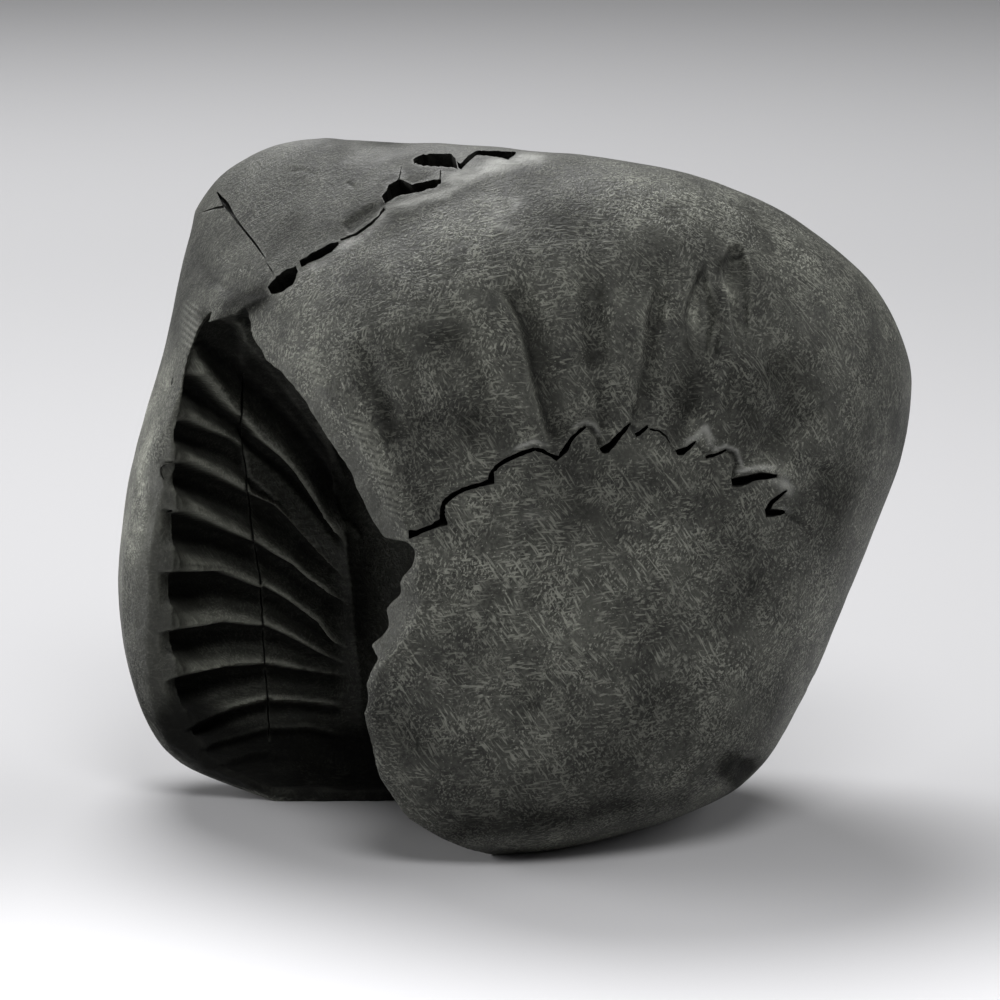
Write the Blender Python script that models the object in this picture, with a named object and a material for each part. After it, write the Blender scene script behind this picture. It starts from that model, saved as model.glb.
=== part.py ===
"""Shaligram: a river-worn black nodule with the ribbed hollow that an ammonite left in it.

The stone is one solid. A rounded lump is drawn on a profile frame in millimetres: x runs to the right,
y runs into the stone from its face, and z runs up the profile. The profile leans back a little, and the
stone rests on a small worn flat. The ammonite's mould, the broken mouth in front of it, the jagged seam
between the outer whorl and the disc, and the gaps under the cap are cut out of the lump.
"""

import math

import bmesh
import bpy
import numpy as np

MM = 0.001
STONE_COLOUR = (0.045, 0.044, 0.040, 1.0)
STONE_ROUGHNESS = 0.62

# The lump. The outline is the widest section of the stone, as (x, z) in mm, clockwise from the top left.
OUTLINE = (
    (-27.7, 37.6), (-18.3, 38.5), (-7.0, 38.3), (0.0, 37.9), (9.1, 37.1), (20.0, 34.8), (30.9, 29.1),
    (38.7, 22.1), (42.5, 14.8), (43.0, 8.0), (39.9, -2.2), (36.1, -10.9), (30.9, -21.6), (25.4, -30.0),
    (20.0, -33.5), (12.0, -37.0), (0.0, -40.5), (-12.0, -40.2), (-21.4, -37.2), (-28.8, -33.3),
    (-34.7, -30.5), (-39.6, -25.5), (-42.3, -19.0), (-43.5, -11.0), (-43.2, -2.2), (-40.9, 8.7),
    (-38.1, 17.6), (-36.9, 24.2), (-34.8, 30.6), (-31.6, 35.4),
)
FACE_DEPTH = 29.0
BACK_DEPTH = 27.0
FACE_FULLNESS = 2.7
BACK_FULLNESS = 2.3
SWEEP_REACH = 40.0
LEFT_SWEEP = 13.0
RIGHT_SWEEP = 7.0
# Worn facets, as (direction they face, distance from the centre in mm): the slope of the cap above the
# hollow, the flattish disc at the front, the underside, and two rubbed places at the back.
FACETS = (
    ((-0.35, -0.62, 0.70), 35.8),
    ((0.10, -0.97, -0.12), 31.0),
    ((0.00, 0.21, -0.98), 36.6),
    ((0.45, 0.80, 0.35), 33.5),
    ((-0.35, 0.85, -0.30), 32.0),
)
FACET_BLEND = 12.0
# The outline is let out where the cap's slope takes it in, by up to this share.
CAP_GIVE = 0.52
UNDULATION = 0.35

# How it stands: the profile leans back, and the flat it rests on is this far below the lump's centre.
LEAN = math.radians(12.0)
CENTRE_HEIGHT = 34.6 * math.cos(LEAN)

# The middle of the stone's footprint in the profile frame's x and the depth it leans to, which is where
# the finished stone has its origin.
FOOTPRINT_MIDDLE = (-0.27, 0.25)

# Depth y of the left lobe's broken face, as (z, y) in mm: it leans, and turns back under the cap.
BREAK = ((-46.0, 12.2), (-32.0, 7.6), (-20.0, 3.6), (-8.0, -0.4), (2.0, -3.6), (9.0, -5.3), (15.0, -5.8), (24.0, -5.0))

# The mould: the left end of each level section, as (z, x) in mm, and the right end of them all.
MOULD_LEFT = (
    (-31.5, -26.5), (-30.2, -29.0), (-28.4, -32.0), (-25.5, -34.4), (-21.5, -36.0), (-16.0, -36.7),
    (-10.8, -36.8), (-5.4, -36.5), (0.0, -36.2), (5.4, -36.2), (10.8, -35.6), (16.1, -34.6), (20.0, -32.4),
    (22.5, -28.5),
)
MOULD_RIGHT = -10.0
MOULD_MIDDLE = -4.0
MOULD_HALF_HEIGHT = 28.5
MOULD_TOP = 21.5
MOULD_BOTTOM = -31.0
MOULD_ROUNDING = 1.2
MOULD_DEPTH = 16.0
MOULD_FORWARD = 1.2
MOULD_FULLNESS = 2.4
# Ribs run across the mould and fan out from two centres, one for each side of the whorl's middle line.
# Each is given by the height at which its crest crosses that line. From one crest to the next below it
# the wall follows a profile of (share of the way down, relief): it falls back steeply, then swells out.
RIB_CRESTS = (23.0, 15.6, 8.1, 1.4, -4.2, -8.8, -12.6, -16.7, -21.4, -25.2, -28.5, -31.5)
RIB_PROFILE = ((0.0, 1.0), (0.14, -0.8), (0.42, -0.75), (0.74, 0.15))
RIB_RELIEF = 0.21
RIB_FAN_RIGHT = (-2.7, -22.1)
RIB_FAN_LEFT = (4.1, -12.1)
MIDDLE_LINE = (-28.6, -0.085)
RIB_RISE = 2.0
RIB_START = 0.2
# The umbilical pocket behind the front mass: level sections, as (z, middle x, half width, front, back).
POCKET = (
    (-29.5, -13.0, 4.0, 5.0, 12.0), (-27.0, -12.0, 7.0, 0.0, 16.0), (-20.0, -11.5, 8.0, -6.0, 18.0),
    (-8.0, -11.5, 8.0, -9.0, 18.0), (2.0, -13.5, 7.5, -10.5, 15.0), (9.0, -17.0, 5.5, -11.0, 10.0),
    (13.0, -19.5, 3.5, -10.0, 5.0),
)
POCKET_FULLNESS = 3.0

# Everything drawn on the face from here on is given as it is seen from a point straight in front, at this
# x and this far from the plane y = 0, and is carried back along the lines of sight on to the stone.
EYE_X = -1.6
EYE_DISTANCE = 550.0

# Left edge of the front mass, as (x, z) in mm from top to bottom: the whorl's broken end, then the
# scallops of the disc, then the disc's smooth rim.
EDGE = (
    (-28.8, 20.6), (-28.5, 18.1), (-26.8, 15.1), (-24.9, 13.5), (-22.7, 10.8), (-20.4, 6.9), (-18.3, 4.1),
    (-17.0, 1.1), (-15.6, -1.9), (-14.2, -4.0), (-11.8, -4.4), (-10.8, -5.4), (-11.1, -6.9), (-12.5, -8.9),
    (-12.3, -10.0), (-13.9, -11.7), (-13.6, -13.6), (-15.4, -15.7), (-14.8, -17.0), (-16.1, -19.7),
    (-15.8, -21.2), (-16.3, -23.0), (-15.8, -25.0), (-14.6, -29.8), (-11.6, -34.4), (-8.9, -36.6),
    (-6.0, -38.5), (-3.0, -44.0),
)
# The line inside each of those points where the bevelled face along the edge begins, and how many mm the
# bevel drops for each mm of its width. Behind the edge, the mouth's wall is undercut per mm of depth.
BROW = (
    (-26.1, 22.2), (-24.6, 19.6), (-22.7, 16.1), (-21.4, 13.5), (-19.6, 10.4), (-17.1, 7.4), (-15.6, 4.8),
    (-14.1, 1.5), (-12.6, -1.3), (-11.8, -2.9), (-11.5, -4.1), (-10.4, -5.5), (-10.2, -7.0), (-10.8, -8.8),
    (-10.2, -10.3), (-10.2, -11.7), (-11.0, -13.9), (-12.2, -15.6), (-13.9, -17.1), (-15.2, -19.8),
    (-15.0, -21.2), (-15.4, -22.9), (-14.8, -25.0), (-13.8, -29.5), (-11.1, -33.8), (-8.5, -35.9),
    (-5.6, -38.0), (-2.6, -43.5),
)
BEVEL_STEEPNESS = 0.95
UNDERCUT = 0.32
# The mouth's outer side is clear of the lobe, and its top slopes down to it under the cap's lip.
MOUTH_SIDE = -48.0
LIP_FALL = 5.1
CLEARANCE = 60.0
# The ridge between the lobe's broken face and its outer face, as (z, x) in mm from the bottom up, and how
# many mm the outer face falls back for each mm that it runs out from the ridge.
RIDGE = (
    (-30.7, -29.6), (-29.3, -33.0), (-27.7, -35.5), (-26.4, -37.3), (-24.2, -38.7), (-21.5, -39.3),
    (-10.8, -39.4), (-6.5, -39.2), (-3.2, -38.7), (0.0, -37.9), (2.7, -37.0), (5.4, -36.7), (10.8, -36.6),
    (17.2, -36.6),
)
SHOULDER_SLOPE = 1.4
SHOULDER_REACH = 12.0

# Gaps, each as (upper edge, lower edge, depth): matching (x, z) points in mm along the gap's two lips.
SEAM = (
    ((-10.6, -3.1), (-8.2, -1.9), (-8.0, -0.2), (-5.7, 1.5), (-3.0, 2.3), (-2.8, 3.2), (-0.9, 4.8), (2.0, 5.9),
     (4.0, 5.1), (4.7, 5.0), (6.1, 7.0), (7.6, 8.2)),
    ((-10.8, -4.1), (-7.2, -2.9), (-7.4, -0.6), (-5.4, 0.8), (-2.2, 1.6), (-2.1, 3.0), (-0.5, 4.1), (2.2, 5.2),
     (3.9, 4.5), (4.5, 3.9), (6.4, 6.3), (7.8, 7.8)),
    4.0,
)
NOTCHES = (
    (((9.1, 5.7), (10.2, 6.5), (12.4, 8.6)), ((9.4, 4.9), (10.2, 5.0), (12.6, 8.2)), 3.5),
    (((12.9, 7.3), (14.3, 8.2)), ((13.2, 6.6), (14.5, 7.7)), 1.8),
    (((17.2, 5.5), (18.5, 5.9), (19.5, 6.6)), ((17.5, 4.7), (18.2, 4.7), (19.6, 6.1)), 2.5),
    (((20.4, 4.9), (22.8, 5.6)), ((20.7, 4.3), (22.9, 5.2)), 1.8),
    (((23.2, 2.5), (25.3, 2.9), (28.2, 2.8)), ((23.4, 1.3), (25.3, 1.8), (28.2, 2.4)), 3.0),
    (((26.8, -0.5), (28.0, 0.5), (30.5, 2.5)), ((27.5, -1.2), (28.3, -0.5), (30.7, 2.1)), 2.5),
    (((26.8, -1.0), (29.3, -1.1)), ((27.1, -1.9), (29.4, -1.5)), 2.0),
)
CAP_GAPS = (
    (((-26.8, 22.8), (-25.8, 24.1), (-24.3, 25.1), (-22.8, 25.9), (-21.4, 26.7), (-18.8, 28.6), (-16.6, 30.2),
      (-13.8, 31.9)),
     ((-26.4, 22.1), (-25.1, 22.6), (-23.9, 23.4), (-22.7, 24.9), (-21.3, 25.6), (-18.7, 28.1), (-16.2, 29.4),
      (-13.6, 31.4)), 4.5),
    (((-14.4, 32.4), (-12.8, 34.7), (-10.5, 34.4), (-7.8, 34.6)),
     ((-14.1, 31.7), (-12.7, 32.4), (-9.9, 32.9), (-7.8, 33.9)), 5.0),
    (((-11.1, 36.7), (-9.4, 37.3), (-7.0, 37.5), (-6.0, 36.5), (-4.0, 37.7), (-2.4, 37.1), (0.0, 37.7)),
     ((-11.0, 36.3), (-8.1, 35.8), (-6.6, 35.5), (-5.7, 35.6), (-4.1, 37.0), (-2.4, 36.3), (0.2, 37.2)), 4.0),
    (((-32.7, 33.8), (-30.5, 32.0), (-29.7, 30.6), (-28.0, 28.0), (-26.9, 26.1)),
     ((-33.0, 33.4), (-31.2, 31.6), (-30.2, 30.3), (-28.4, 27.7), (-27.1, 25.9)), 2.0),
)
GAP_FLARE = 4.0
GAP_TAPER = 0.35
# Shallow dishes along the outer whorl's ribs and the two almond-shaped scoops beside them, each as
# (top end, bottom end, width, depth) on the face, in mm.
DISHES = (
    ((-16.6, 17.0), (-12.9, 6.0), 3.2, 0.3), ((-8.5, 20.0), (-3.4, 7.5), 3.6, 0.3),
    ((-1.0, 22.7), (4.2, 7.0), 3.2, 0.5), ((8.1, 25.2), (8.7, 12.0), 3.2, 0.4), ((15.7, 24.0), (13.2, 9.0), 2.8, 0.4),
    ((21.1, 26.6), (19.6, 15.4), 3.1, 0.95), ((23.9, 26.6), (24.3, 16.2), 2.5, 0.95),
    ((19.8, 14.2), (18.8, 8.0), 2.9, 0.4), ((28.8, 15.8), (26.8, 5.6), 4.2, 0.45),
)

# Facets of the faceted solid.
LUMP_SUBDIVISIONS = 5
MOULD_COLUMNS = 19
POCKET_ROWS = 12
POCKET_COLUMNS = 18
DISH_ROWS = 9
DISH_COLUMNS = 8


def closed_curve(angle, knots, values):
    """Value at each angle on a closed cubic through (knot, value) pairs, the knots being angles."""
    order = np.argsort(knots)
    turn = 2 * math.pi
    k = np.concatenate([knots[order][-2:] - turn, knots[order], knots[order][:3] + turn])
    v = np.concatenate([values[order][-2:], values[order], values[order][:3]])
    return open_curve(np.mod(angle + math.pi, turn) - math.pi, k, v)


def open_curve(at, knots, values):
    """Value at each place on a cubic through (knot, value) pairs, with central-difference slopes."""
    slope = np.gradient(values, knots)
    i = np.clip(np.searchsorted(knots, at, side="right") - 1, 0, len(knots) - 2)
    span = knots[i + 1] - knots[i]
    t = np.clip((at - knots[i]) / span, 0.0, 1.0)
    return (
        values[i] * (1 + 2 * t) * (1 - t) ** 2
        + values[i + 1] * t**2 * (3 - 2 * t)
        + span * (slope[i] * t * (1 - t) ** 2 - slope[i + 1] * t**2 * (1 - t))
    )


def by_height(z, pairs):
    """Value at each height z on the cubic through (z, value) pairs."""
    knots, values = np.array(pairs, float).T
    return open_curve(z, knots, values)


def smooth_step(value, low, high):
    """0 below low, 1 above high, and an S-shaped rise between them."""
    t = np.clip((value - low) / (high - low), 0.0, 1.0)
    return t * t * (3 - 2 * t)


def sweep(x):
    """How far back the lump is swept at x, so that it bulges towards the face in the middle."""
    return np.where(x < 0, LEFT_SWEEP, RIGHT_SWEEP) * (x / SWEEP_REACH) ** 2


def facet_pull(direction, facets):
    """How strongly worn facets hold the lump in, along unit directions."""
    total = np.zeros(len(direction))
    for normal, distance in facets:
        facing = direction @ (np.array(normal) / np.linalg.norm(normal))
        total += np.maximum(facing / distance, 0.0) ** FACET_BLEND
    return total


def lump_radius(direction):
    """Distance from the centre to the lump's unswept surface along unit directions.

    A super-ellipsoid carries the outline round to the front and the back. Each worn facet is a plane, and
    all are joined by a power mean, which rounds the edges between them. The outline is let out where the
    cap's slope takes it in, so that the lump keeps its profile.
    """
    x, y, z = direction.T
    outline = np.array(OUTLINE)
    span = np.hypot(x, z)
    rim = closed_curve(np.arctan2(z, x), np.arctan2(outline[:, 1], outline[:, 0]), np.hypot(*outline.T))
    level = np.stack([x, np.zeros_like(x), z], axis=-1) / np.maximum(span, 1e-9)[:, None]
    taken = np.minimum(facet_pull(level, FACETS[:1]) * rim**FACET_BLEND, CAP_GIVE)
    rim = rim * (1 - taken) ** (-1 / FACET_BLEND)
    full = np.where(y < 0, FACE_FULLNESS, BACK_FULLNESS)
    deep = np.where(y < 0, FACE_DEPTH, BACK_DEPTH)
    inverse = ((span / rim) ** full + (np.abs(y) / deep) ** full) ** (FACET_BLEND / full)
    wave = np.sin(3.1 * x + 2.3 * z + 0.6) + np.sin(4.3 * y - 2.7 * x + 1.9) + np.sin(3.7 * z + 2.9 * y)
    hidden = smooth_step(y, -0.1, 0.5)
    return (inverse + facet_pull(direction, FACETS)) ** (-1 / FACET_BLEND) + UNDULATION * hidden * wave


def face_depth(x, z):
    """Depth y of the lump's face at each (x, z), found by halving the range between face and middle."""
    near, far = np.full_like(x, -2.0 * FACE_DEPTH), np.zeros_like(x)
    for _ in range(40):
        middle = (near + far) / 2
        point = np.stack([x, middle, z], axis=-1)
        length = np.linalg.norm(point, axis=-1)
        outside = length > lump_radius(point / length[:, None])
        near, far = np.where(outside, middle, near), np.where(outside, far, middle)
    return far + sweep(x)


def behind(seen, y):
    """Points at depth y on the lines of sight through seen places, an array of (x, z) on the plane y = 0."""
    share = 1 + y / EYE_DISTANCE
    return np.stack([EYE_X + (seen[:, 0] - EYE_X) * share, y + 0 * share, seen[:, 1] * share], axis=-1)


def on_face(seen):
    """Points of the face at seen places, found by following each line of sight in a few steps."""
    y = np.full(len(seen), -FACE_DEPTH)
    for _ in range(6):
        place = behind(seen, y)
        y = 0.3 * y + 0.7 * face_depth(place[:, 0], place[:, 2])
    return behind(seen, y)


def stand(points):
    """Profile frame, in mm, to the standing stone, in metres: lean back, then lift onto the flat."""
    x, y, z = points.T
    c, s = math.cos(LEAN), math.sin(LEAN)
    middle_x, middle_y = FOOTPRINT_MIDDLE
    return np.stack([x - middle_x, y * c + z * s - middle_y, z * c - y * s + CENTRE_HEIGHT], axis=-1) * MM


def add_object(name, bm, cutter):
    """Makes an object of a bmesh in the profile frame, standing. A cutter is shown as wires only."""
    bmesh.ops.recalc_face_normals(bm, faces=bm.faces[:])
    mesh = bpy.data.meshes.new(name)
    bm.to_mesh(mesh)
    bm.free()
    points = np.empty(len(mesh.vertices) * 3, np.float32)
    mesh.vertices.foreach_get("co", points)
    mesh.vertices.foreach_set("co", stand(points.reshape(-1, 3).astype(float)).astype(np.float32).ravel())
    mesh.update()
    item = bpy.data.objects.new(name, mesh)
    bpy.context.scene.collection.objects.link(item)
    if cutter:
        item.hide_render = True
        item.display_type = "WIRE"
    return item


def loft(rings):
    """Closed bmesh skinned over rings of points, all with the same count, with a face over each end."""
    bm = bmesh.new()
    rows = [[bm.verts.new(p) for p in ring] for ring in rings]
    count = len(rows[0])
    for low, high in zip(rows, rows[1:]):
        for i in range(count):
            j = (i + 1) % count
            bm.faces.new((low[i], low[j], high[j], high[i]))
    bm.faces.new(rows[0][::-1])
    bm.faces.new(rows[-1])
    return bm


def make_lump():
    """The rounded nodule before anything is cut from it."""
    bm = bmesh.new()
    bmesh.ops.create_icosphere(bm, subdivisions=LUMP_SUBDIVISIONS, radius=1.0)
    direction = np.array([v.co.normalized() for v in bm.verts])
    points = direction * lump_radius(direction)[:, None]
    points[:, 1] += sweep(points[:, 0])
    for vertex, point in zip(bm.verts, points):
        vertex.co = point
    return add_object("shaligram_stone", bm, cutter=False)


def rib_line(crossing, x):
    """Height z at each x of the line that runs with the ribs and crosses the middle line at a height.

    It is a straight ray from the fan centre on its side, turned level where it nears the mould's top or
    bottom.
    """
    line = MIDDLE_LINE[0] + MIDDLE_LINE[1] * crossing
    fan_x = np.where(x < line, RIB_FAN_LEFT[0], RIB_FAN_RIGHT[0])
    fan_z = np.where(x < line, RIB_FAN_LEFT[1], RIB_FAN_RIGHT[1])
    z = fan_z + (crossing - fan_z) * (x - fan_x) / (line - fan_x)
    z = MOULD_TOP - MOULD_ROUNDING * np.logaddexp(0.0, (MOULD_TOP - z) / MOULD_ROUNDING)
    return MOULD_BOTTOM + MOULD_ROUNDING * np.logaddexp(0.0, (z - MOULD_BOTTOM) / MOULD_ROUNDING)


def make_mould():
    """The ammonite's mould: each ring follows a rib along the far wall and comes back along the front."""
    rings = []
    for crest, below in zip(RIB_CRESTS, RIB_CRESTS[1:]):
        for share_down, relief in RIB_PROFILE:
            crossing = crest + share_down * (below - crest)
            left = -36.0
            for _ in range(20):
                height = rib_line(crossing, np.array([left]))
                left = 0.5 * left + 0.5 * by_height(height, MOULD_LEFT)[0]
            turn = np.linspace(0, math.pi, MOULD_COLUMNS)
            x = (left + MOULD_RIGHT) / 2 - (MOULD_RIGHT - left) / 2 * np.cos(turn)
            z = rib_line(crossing, x)
            bow = np.sin(turn) ** (2 / MOULD_FULLNESS)
            rise = np.minimum(np.abs((z - MOULD_MIDDLE) / MOULD_HALF_HEIGHT), 0.99)
            share = (1 - rise**MOULD_FULLNESS) ** (1 / MOULD_FULLNESS)
            start = by_height(z, BREAK)
            back = start + MOULD_DEPTH * share * bow
            inward = np.stack([np.gradient(back), -np.gradient(x)], axis=-1)
            inward /= np.linalg.norm(inward, axis=-1, keepdims=True)
            fan_x = np.where(x < MIDDLE_LINE[0], RIB_FAN_LEFT[0], RIB_FAN_RIGHT[0])
            spacing = (crest - below) * (x - fan_x) / (MIDDLE_LINE[0] - fan_x)
            grow = RIB_START + (1 - RIB_START) * smooth_step(x, left, left + RIB_RISE)
            fade = 1 - smooth_step(x, MOULD_RIGHT - 4.0, MOULD_RIGHT)
            ribs = RIB_RELIEF * relief * spacing * grow * fade
            wall = np.stack([x + inward[:, 0] * ribs, back + inward[:, 1] * ribs, z], axis=-1)
            near = start - MOULD_FORWARD * share * bow
            front = np.stack([x, near, z], axis=-1)[1:-1]
            rings.append(np.concatenate([wall, front[::-1]]))
    return add_object("mould_cutter", loft(rings), cutter=True)


def make_pocket():
    """The smooth umbilical pocket: level rounded sections, one above another."""
    heights = np.linspace(POCKET[0][0], POCKET[-1][0], POCKET_ROWS)
    middle, half, front, back = (by_height(heights, [(row[0], row[i]) for row in POCKET]) for i in (1, 2, 3, 4))
    turn = np.linspace(0, 2 * math.pi, POCKET_COLUMNS, endpoint=False)
    across = np.sign(np.cos(turn)) * np.abs(np.cos(turn)) ** (2 / POCKET_FULLNESS)
    along = np.sign(np.sin(turn)) * np.abs(np.sin(turn)) ** (2 / POCKET_FULLNESS)
    rings = []
    for row, z in enumerate(heights):
        depth = (front[row] + back[row]) / 2 + (back[row] - front[row]) / 2 * along
        rings.append(np.stack([middle[row] + half[row] * across, depth, np.full_like(turn, z)], axis=-1))
    return add_object("pocket_cutter", loft(rings), cutter=True)


def make_dish(name, top, bottom, width, depth):
    """A shallow dish that follows the face from its top end to its bottom end, pointed at both."""
    top, bottom = np.array(top), np.array(bottom)
    share = np.linspace(0.02, 0.98, DISH_ROWS)
    path = on_face(top + share[:, None] * (bottom - top))
    side = np.array([(top - bottom)[1], -(top - bottom)[0]]) / np.linalg.norm(top - bottom)
    slope = (face_depth(path[:, 0] + 0.5 * side[0], path[:, 2] + 0.5 * side[1]) - path[:, 1]) / 0.5
    turn = np.linspace(0, 2 * math.pi, DISH_COLUMNS, endpoint=False)
    rings = []
    for (x, y, z), lean, swell in zip(path, slope, np.sin(math.pi * share) ** 0.8):
        across = width / 2 * swell * np.cos(turn)
        deep = np.where(np.sin(turn) < 0, 1.0, depth * swell + 0.05) * np.sin(turn)
        rings.append(np.stack([x + across * side[0], y + across * lean + deep, z + across * side[1]], axis=-1))
    return add_object(name, loft(rings), cutter=True)


def make_mouth():
    """The mouth: everything broken away in front of the left lobe, up to the front mass's left edge.

    Each ring goes in along the front mass's edge and back along the lobe's broken face: down the brow,
    across the bevel to the edge, under the front mass, and out to the side.
    """
    edge, brow = np.array(EDGE), np.array(BROW)
    face = on_face(np.stack([brow[:, 0], np.clip(brow[:, 1], -33.0, None)], axis=-1))[:, 1]
    back = by_height(edge[:, 1], BREAK)
    lip = np.minimum(face + BEVEL_STEEPNESS * np.linalg.norm(brow - edge, axis=-1), back - 1.0)
    x, _, z = behind(edge, lip).T
    side = z - LIP_FALL * smooth_step(z, 0.0, z[0])
    near, out = np.full_like(face, -CLEARANCE), np.full_like(face, MOUTH_SIDE)
    corners = (
        behind(brow, near),
        behind(brow, face),
        np.stack([x, lip, z], axis=-1),
        np.stack([x + UNDERCUT * (back - lip), back, z], axis=-1),
        np.stack([out, by_height(side, BREAK), side], axis=-1),
        np.stack([out, near, side], axis=-1),
    )
    return add_object("mouth_cutter", loft(np.stack(corners, axis=1)), cutter=True)


def make_shoulder():
    """The lobe's outer face: level sections that run from the ridge out and back, clear of everything else."""
    ridge = np.array(RIDGE)
    z, x = ridge.T
    start = by_height(z, BREAK)
    corners = (
        (x, start, z),
        (x - SHOULDER_REACH, start + SHOULDER_SLOPE * SHOULDER_REACH, z),
        (x - SHOULDER_REACH, np.full_like(z, -CLEARANCE), z),
        (x, np.full_like(z, -CLEARANCE), z),
    )
    rings = np.stack([np.stack(corner, axis=-1) for corner in corners], axis=1)
    return add_object("shoulder_cutter", loft(rings), cutter=True)


def make_gap(name, upper, lower, depth):
    """A gap's cutter: it flares out of the face and narrows to a fraction of its width at its bottom."""
    upper, lower = np.array(upper), np.array(lower)
    middle = (upper + lower) / 2
    face = on_face(middle)[:, 1]
    corners = (
        behind(upper, face - GAP_FLARE),
        behind(lower, face - GAP_FLARE),
        behind(middle + GAP_TAPER * (lower - middle), face + depth),
        behind(middle + GAP_TAPER * (upper - middle), face + depth),
    )
    return add_object(name, loft(np.stack(corners, axis=1)), cutter=True)


def make_ground():
    """A block below the resting plane, which wears the stone's underside flat."""
    bm = bmesh.new()
    bmesh.ops.create_cube(bm, size=2 * CLEARANCE)
    bmesh.ops.translate(bm, verts=bm.verts[:], vec=(0, 0, -CLEARANCE))
    mesh = bpy.data.meshes.new("ground_cutter")
    bmesh.ops.scale(bm, verts=bm.verts[:], vec=(MM, MM, MM))
    bm.to_mesh(mesh)
    bm.free()
    item = bpy.data.objects.new("ground_cutter", mesh)
    bpy.context.scene.collection.objects.link(item)
    item.hide_render = True
    item.display_type = "WIRE"
    return item


def stone_material():
    """Black shale rubbed smooth by a river: dark grey with a faint sheen."""
    material = bpy.data.materials.new("black_shale")
    material.use_nodes = True
    shader = material.node_tree.nodes["Principled BSDF"]
    shader.inputs["Base Color"].default_value = STONE_COLOUR
    shader.inputs["Roughness"].default_value = STONE_ROUGHNESS
    shader.inputs["Metallic"].default_value = 0.0
    return material


def cut(stone, cutter):
    """Cuts one shape out of the stone with an exact Boolean."""
    boolean = stone.modifiers.new(cutter.name, "BOOLEAN")
    boolean.operation = "DIFFERENCE"
    boolean.solver = "EXACT"
    boolean.object = cutter


def main():
    """Clears the scene and builds the stone."""
    for item in list(bpy.data.objects):
        bpy.data.objects.remove(item)
    stone = make_lump()
    stone.data.materials.append(stone_material())
    cut(stone, make_mouth())
    cut(stone, make_shoulder())
    cut(stone, make_mould())
    cut(stone, make_pocket())
    cut(stone, make_gap("seam_cutter", *SEAM))
    for number, gap in enumerate(NOTCHES, start=1):
        cut(stone, make_gap(f"notch_{number}_cutter", *gap))
    for number, gap in enumerate(CAP_GAPS, start=1):
        cut(stone, make_gap(f"cap_gap_{number}_cutter", *gap))
    for number, dish in enumerate(DISHES, start=1):
        cut(stone, make_dish(f"dish_{number}_cutter", *dish))
    cut(stone, make_ground())


if __name__ == "__main__":
    main()
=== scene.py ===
"""Looks of a shaligram: a river-worn black nodule with the ribbed hollow that an ammonite left in it.

The stone is one piece. It is drawn in a profile frame in millimetres, where x runs to the right, y runs into
the stone from its worn face and z runs up the profile. Places on the face are given as they are seen from a
point straight in front of it, and are carried back along the lines of sight on to the lump. A rounded lump is
cut by lofted shapes, skinned anew with small even faces, worn smooth, given its relief point by point, and
stood on its flat inside the box of the solid that it stands for.
"""

from __future__ import annotations

import logging
import math
from dataclasses import dataclass, field
from enum import Enum

import bmesh
import bpy
import numpy as np
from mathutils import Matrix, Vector
from numpy.typing import NDArray


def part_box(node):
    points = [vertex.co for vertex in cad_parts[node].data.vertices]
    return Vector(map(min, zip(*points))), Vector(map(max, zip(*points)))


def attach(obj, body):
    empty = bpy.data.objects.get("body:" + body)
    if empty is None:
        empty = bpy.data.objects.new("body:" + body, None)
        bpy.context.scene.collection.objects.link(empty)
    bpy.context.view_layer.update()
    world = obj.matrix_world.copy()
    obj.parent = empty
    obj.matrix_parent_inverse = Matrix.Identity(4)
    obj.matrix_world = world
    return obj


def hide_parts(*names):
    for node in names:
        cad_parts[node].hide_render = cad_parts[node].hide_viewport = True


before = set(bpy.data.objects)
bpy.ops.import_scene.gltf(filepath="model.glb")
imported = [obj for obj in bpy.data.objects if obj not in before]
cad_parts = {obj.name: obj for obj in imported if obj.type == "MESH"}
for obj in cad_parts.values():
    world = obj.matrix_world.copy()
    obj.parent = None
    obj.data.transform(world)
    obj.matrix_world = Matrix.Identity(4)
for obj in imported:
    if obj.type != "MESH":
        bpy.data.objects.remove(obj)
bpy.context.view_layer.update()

LOG = logging.getLogger("shaligram")
NODE = "shaligram_stone"
SLOT = "black_shale"
Array = NDArray[np.float64]
Pairs = tuple[tuple[float, float], ...]
Triple = tuple[float, float, float]
Facets = tuple[tuple[Triple, float], ...]
Piece = bpy.types.Object
Socket = bpy.types.NodeSocket


# --- curves and grain


def along(*numbers: float) -> Pairs:
    """A line's corners, from their numbers in turn: across, up, across, up and so on."""
    return tuple(zip(numbers[::2], numbers[1::2]))


def open_curve(at: Array, knots: Array, values: Array) -> Array:
    """Cubic through (knot, value) pairs, whose slope at each knot is the central difference.

    Args:
        at: places to read the curve at, clamped to its ends.
        knots: rising places of the known values.
        values: the known values.

    Returns:
        The value at each place.
    """
    slope = np.gradient(values, knots)
    i = np.clip(np.searchsorted(knots, at, side="right") - 1, 0, len(knots) - 2)
    span = knots[i + 1] - knots[i]
    t = np.clip((at - knots[i]) / span, 0.0, 1.0)
    return (
        values[i] * (1 + 2 * t) * (1 - t) ** 2
        + values[i + 1] * t**2 * (3 - 2 * t)
        + span * (slope[i] * t * (1 - t) ** 2 - slope[i + 1] * t**2 * (1 - t))
    )


def closed_curve(angle: Array, knots: Array, values: Array) -> Array:
    """The same cubic closed on itself over a full turn.

    Args:
        angle: angles to read the curve at, in radians.
        knots: angles of the known values.
        values: the known values.

    Returns:
        The value at each angle.
    """
    order = np.argsort(knots)
    turn = 2 * math.pi
    k = np.concatenate([knots[order][-2:] - turn, knots[order], knots[order][:3] + turn])
    v = np.concatenate([values[order][-2:], values[order], values[order][:3]])
    return open_curve(np.mod(angle + math.pi, turn) - math.pi, k, v)


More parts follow.
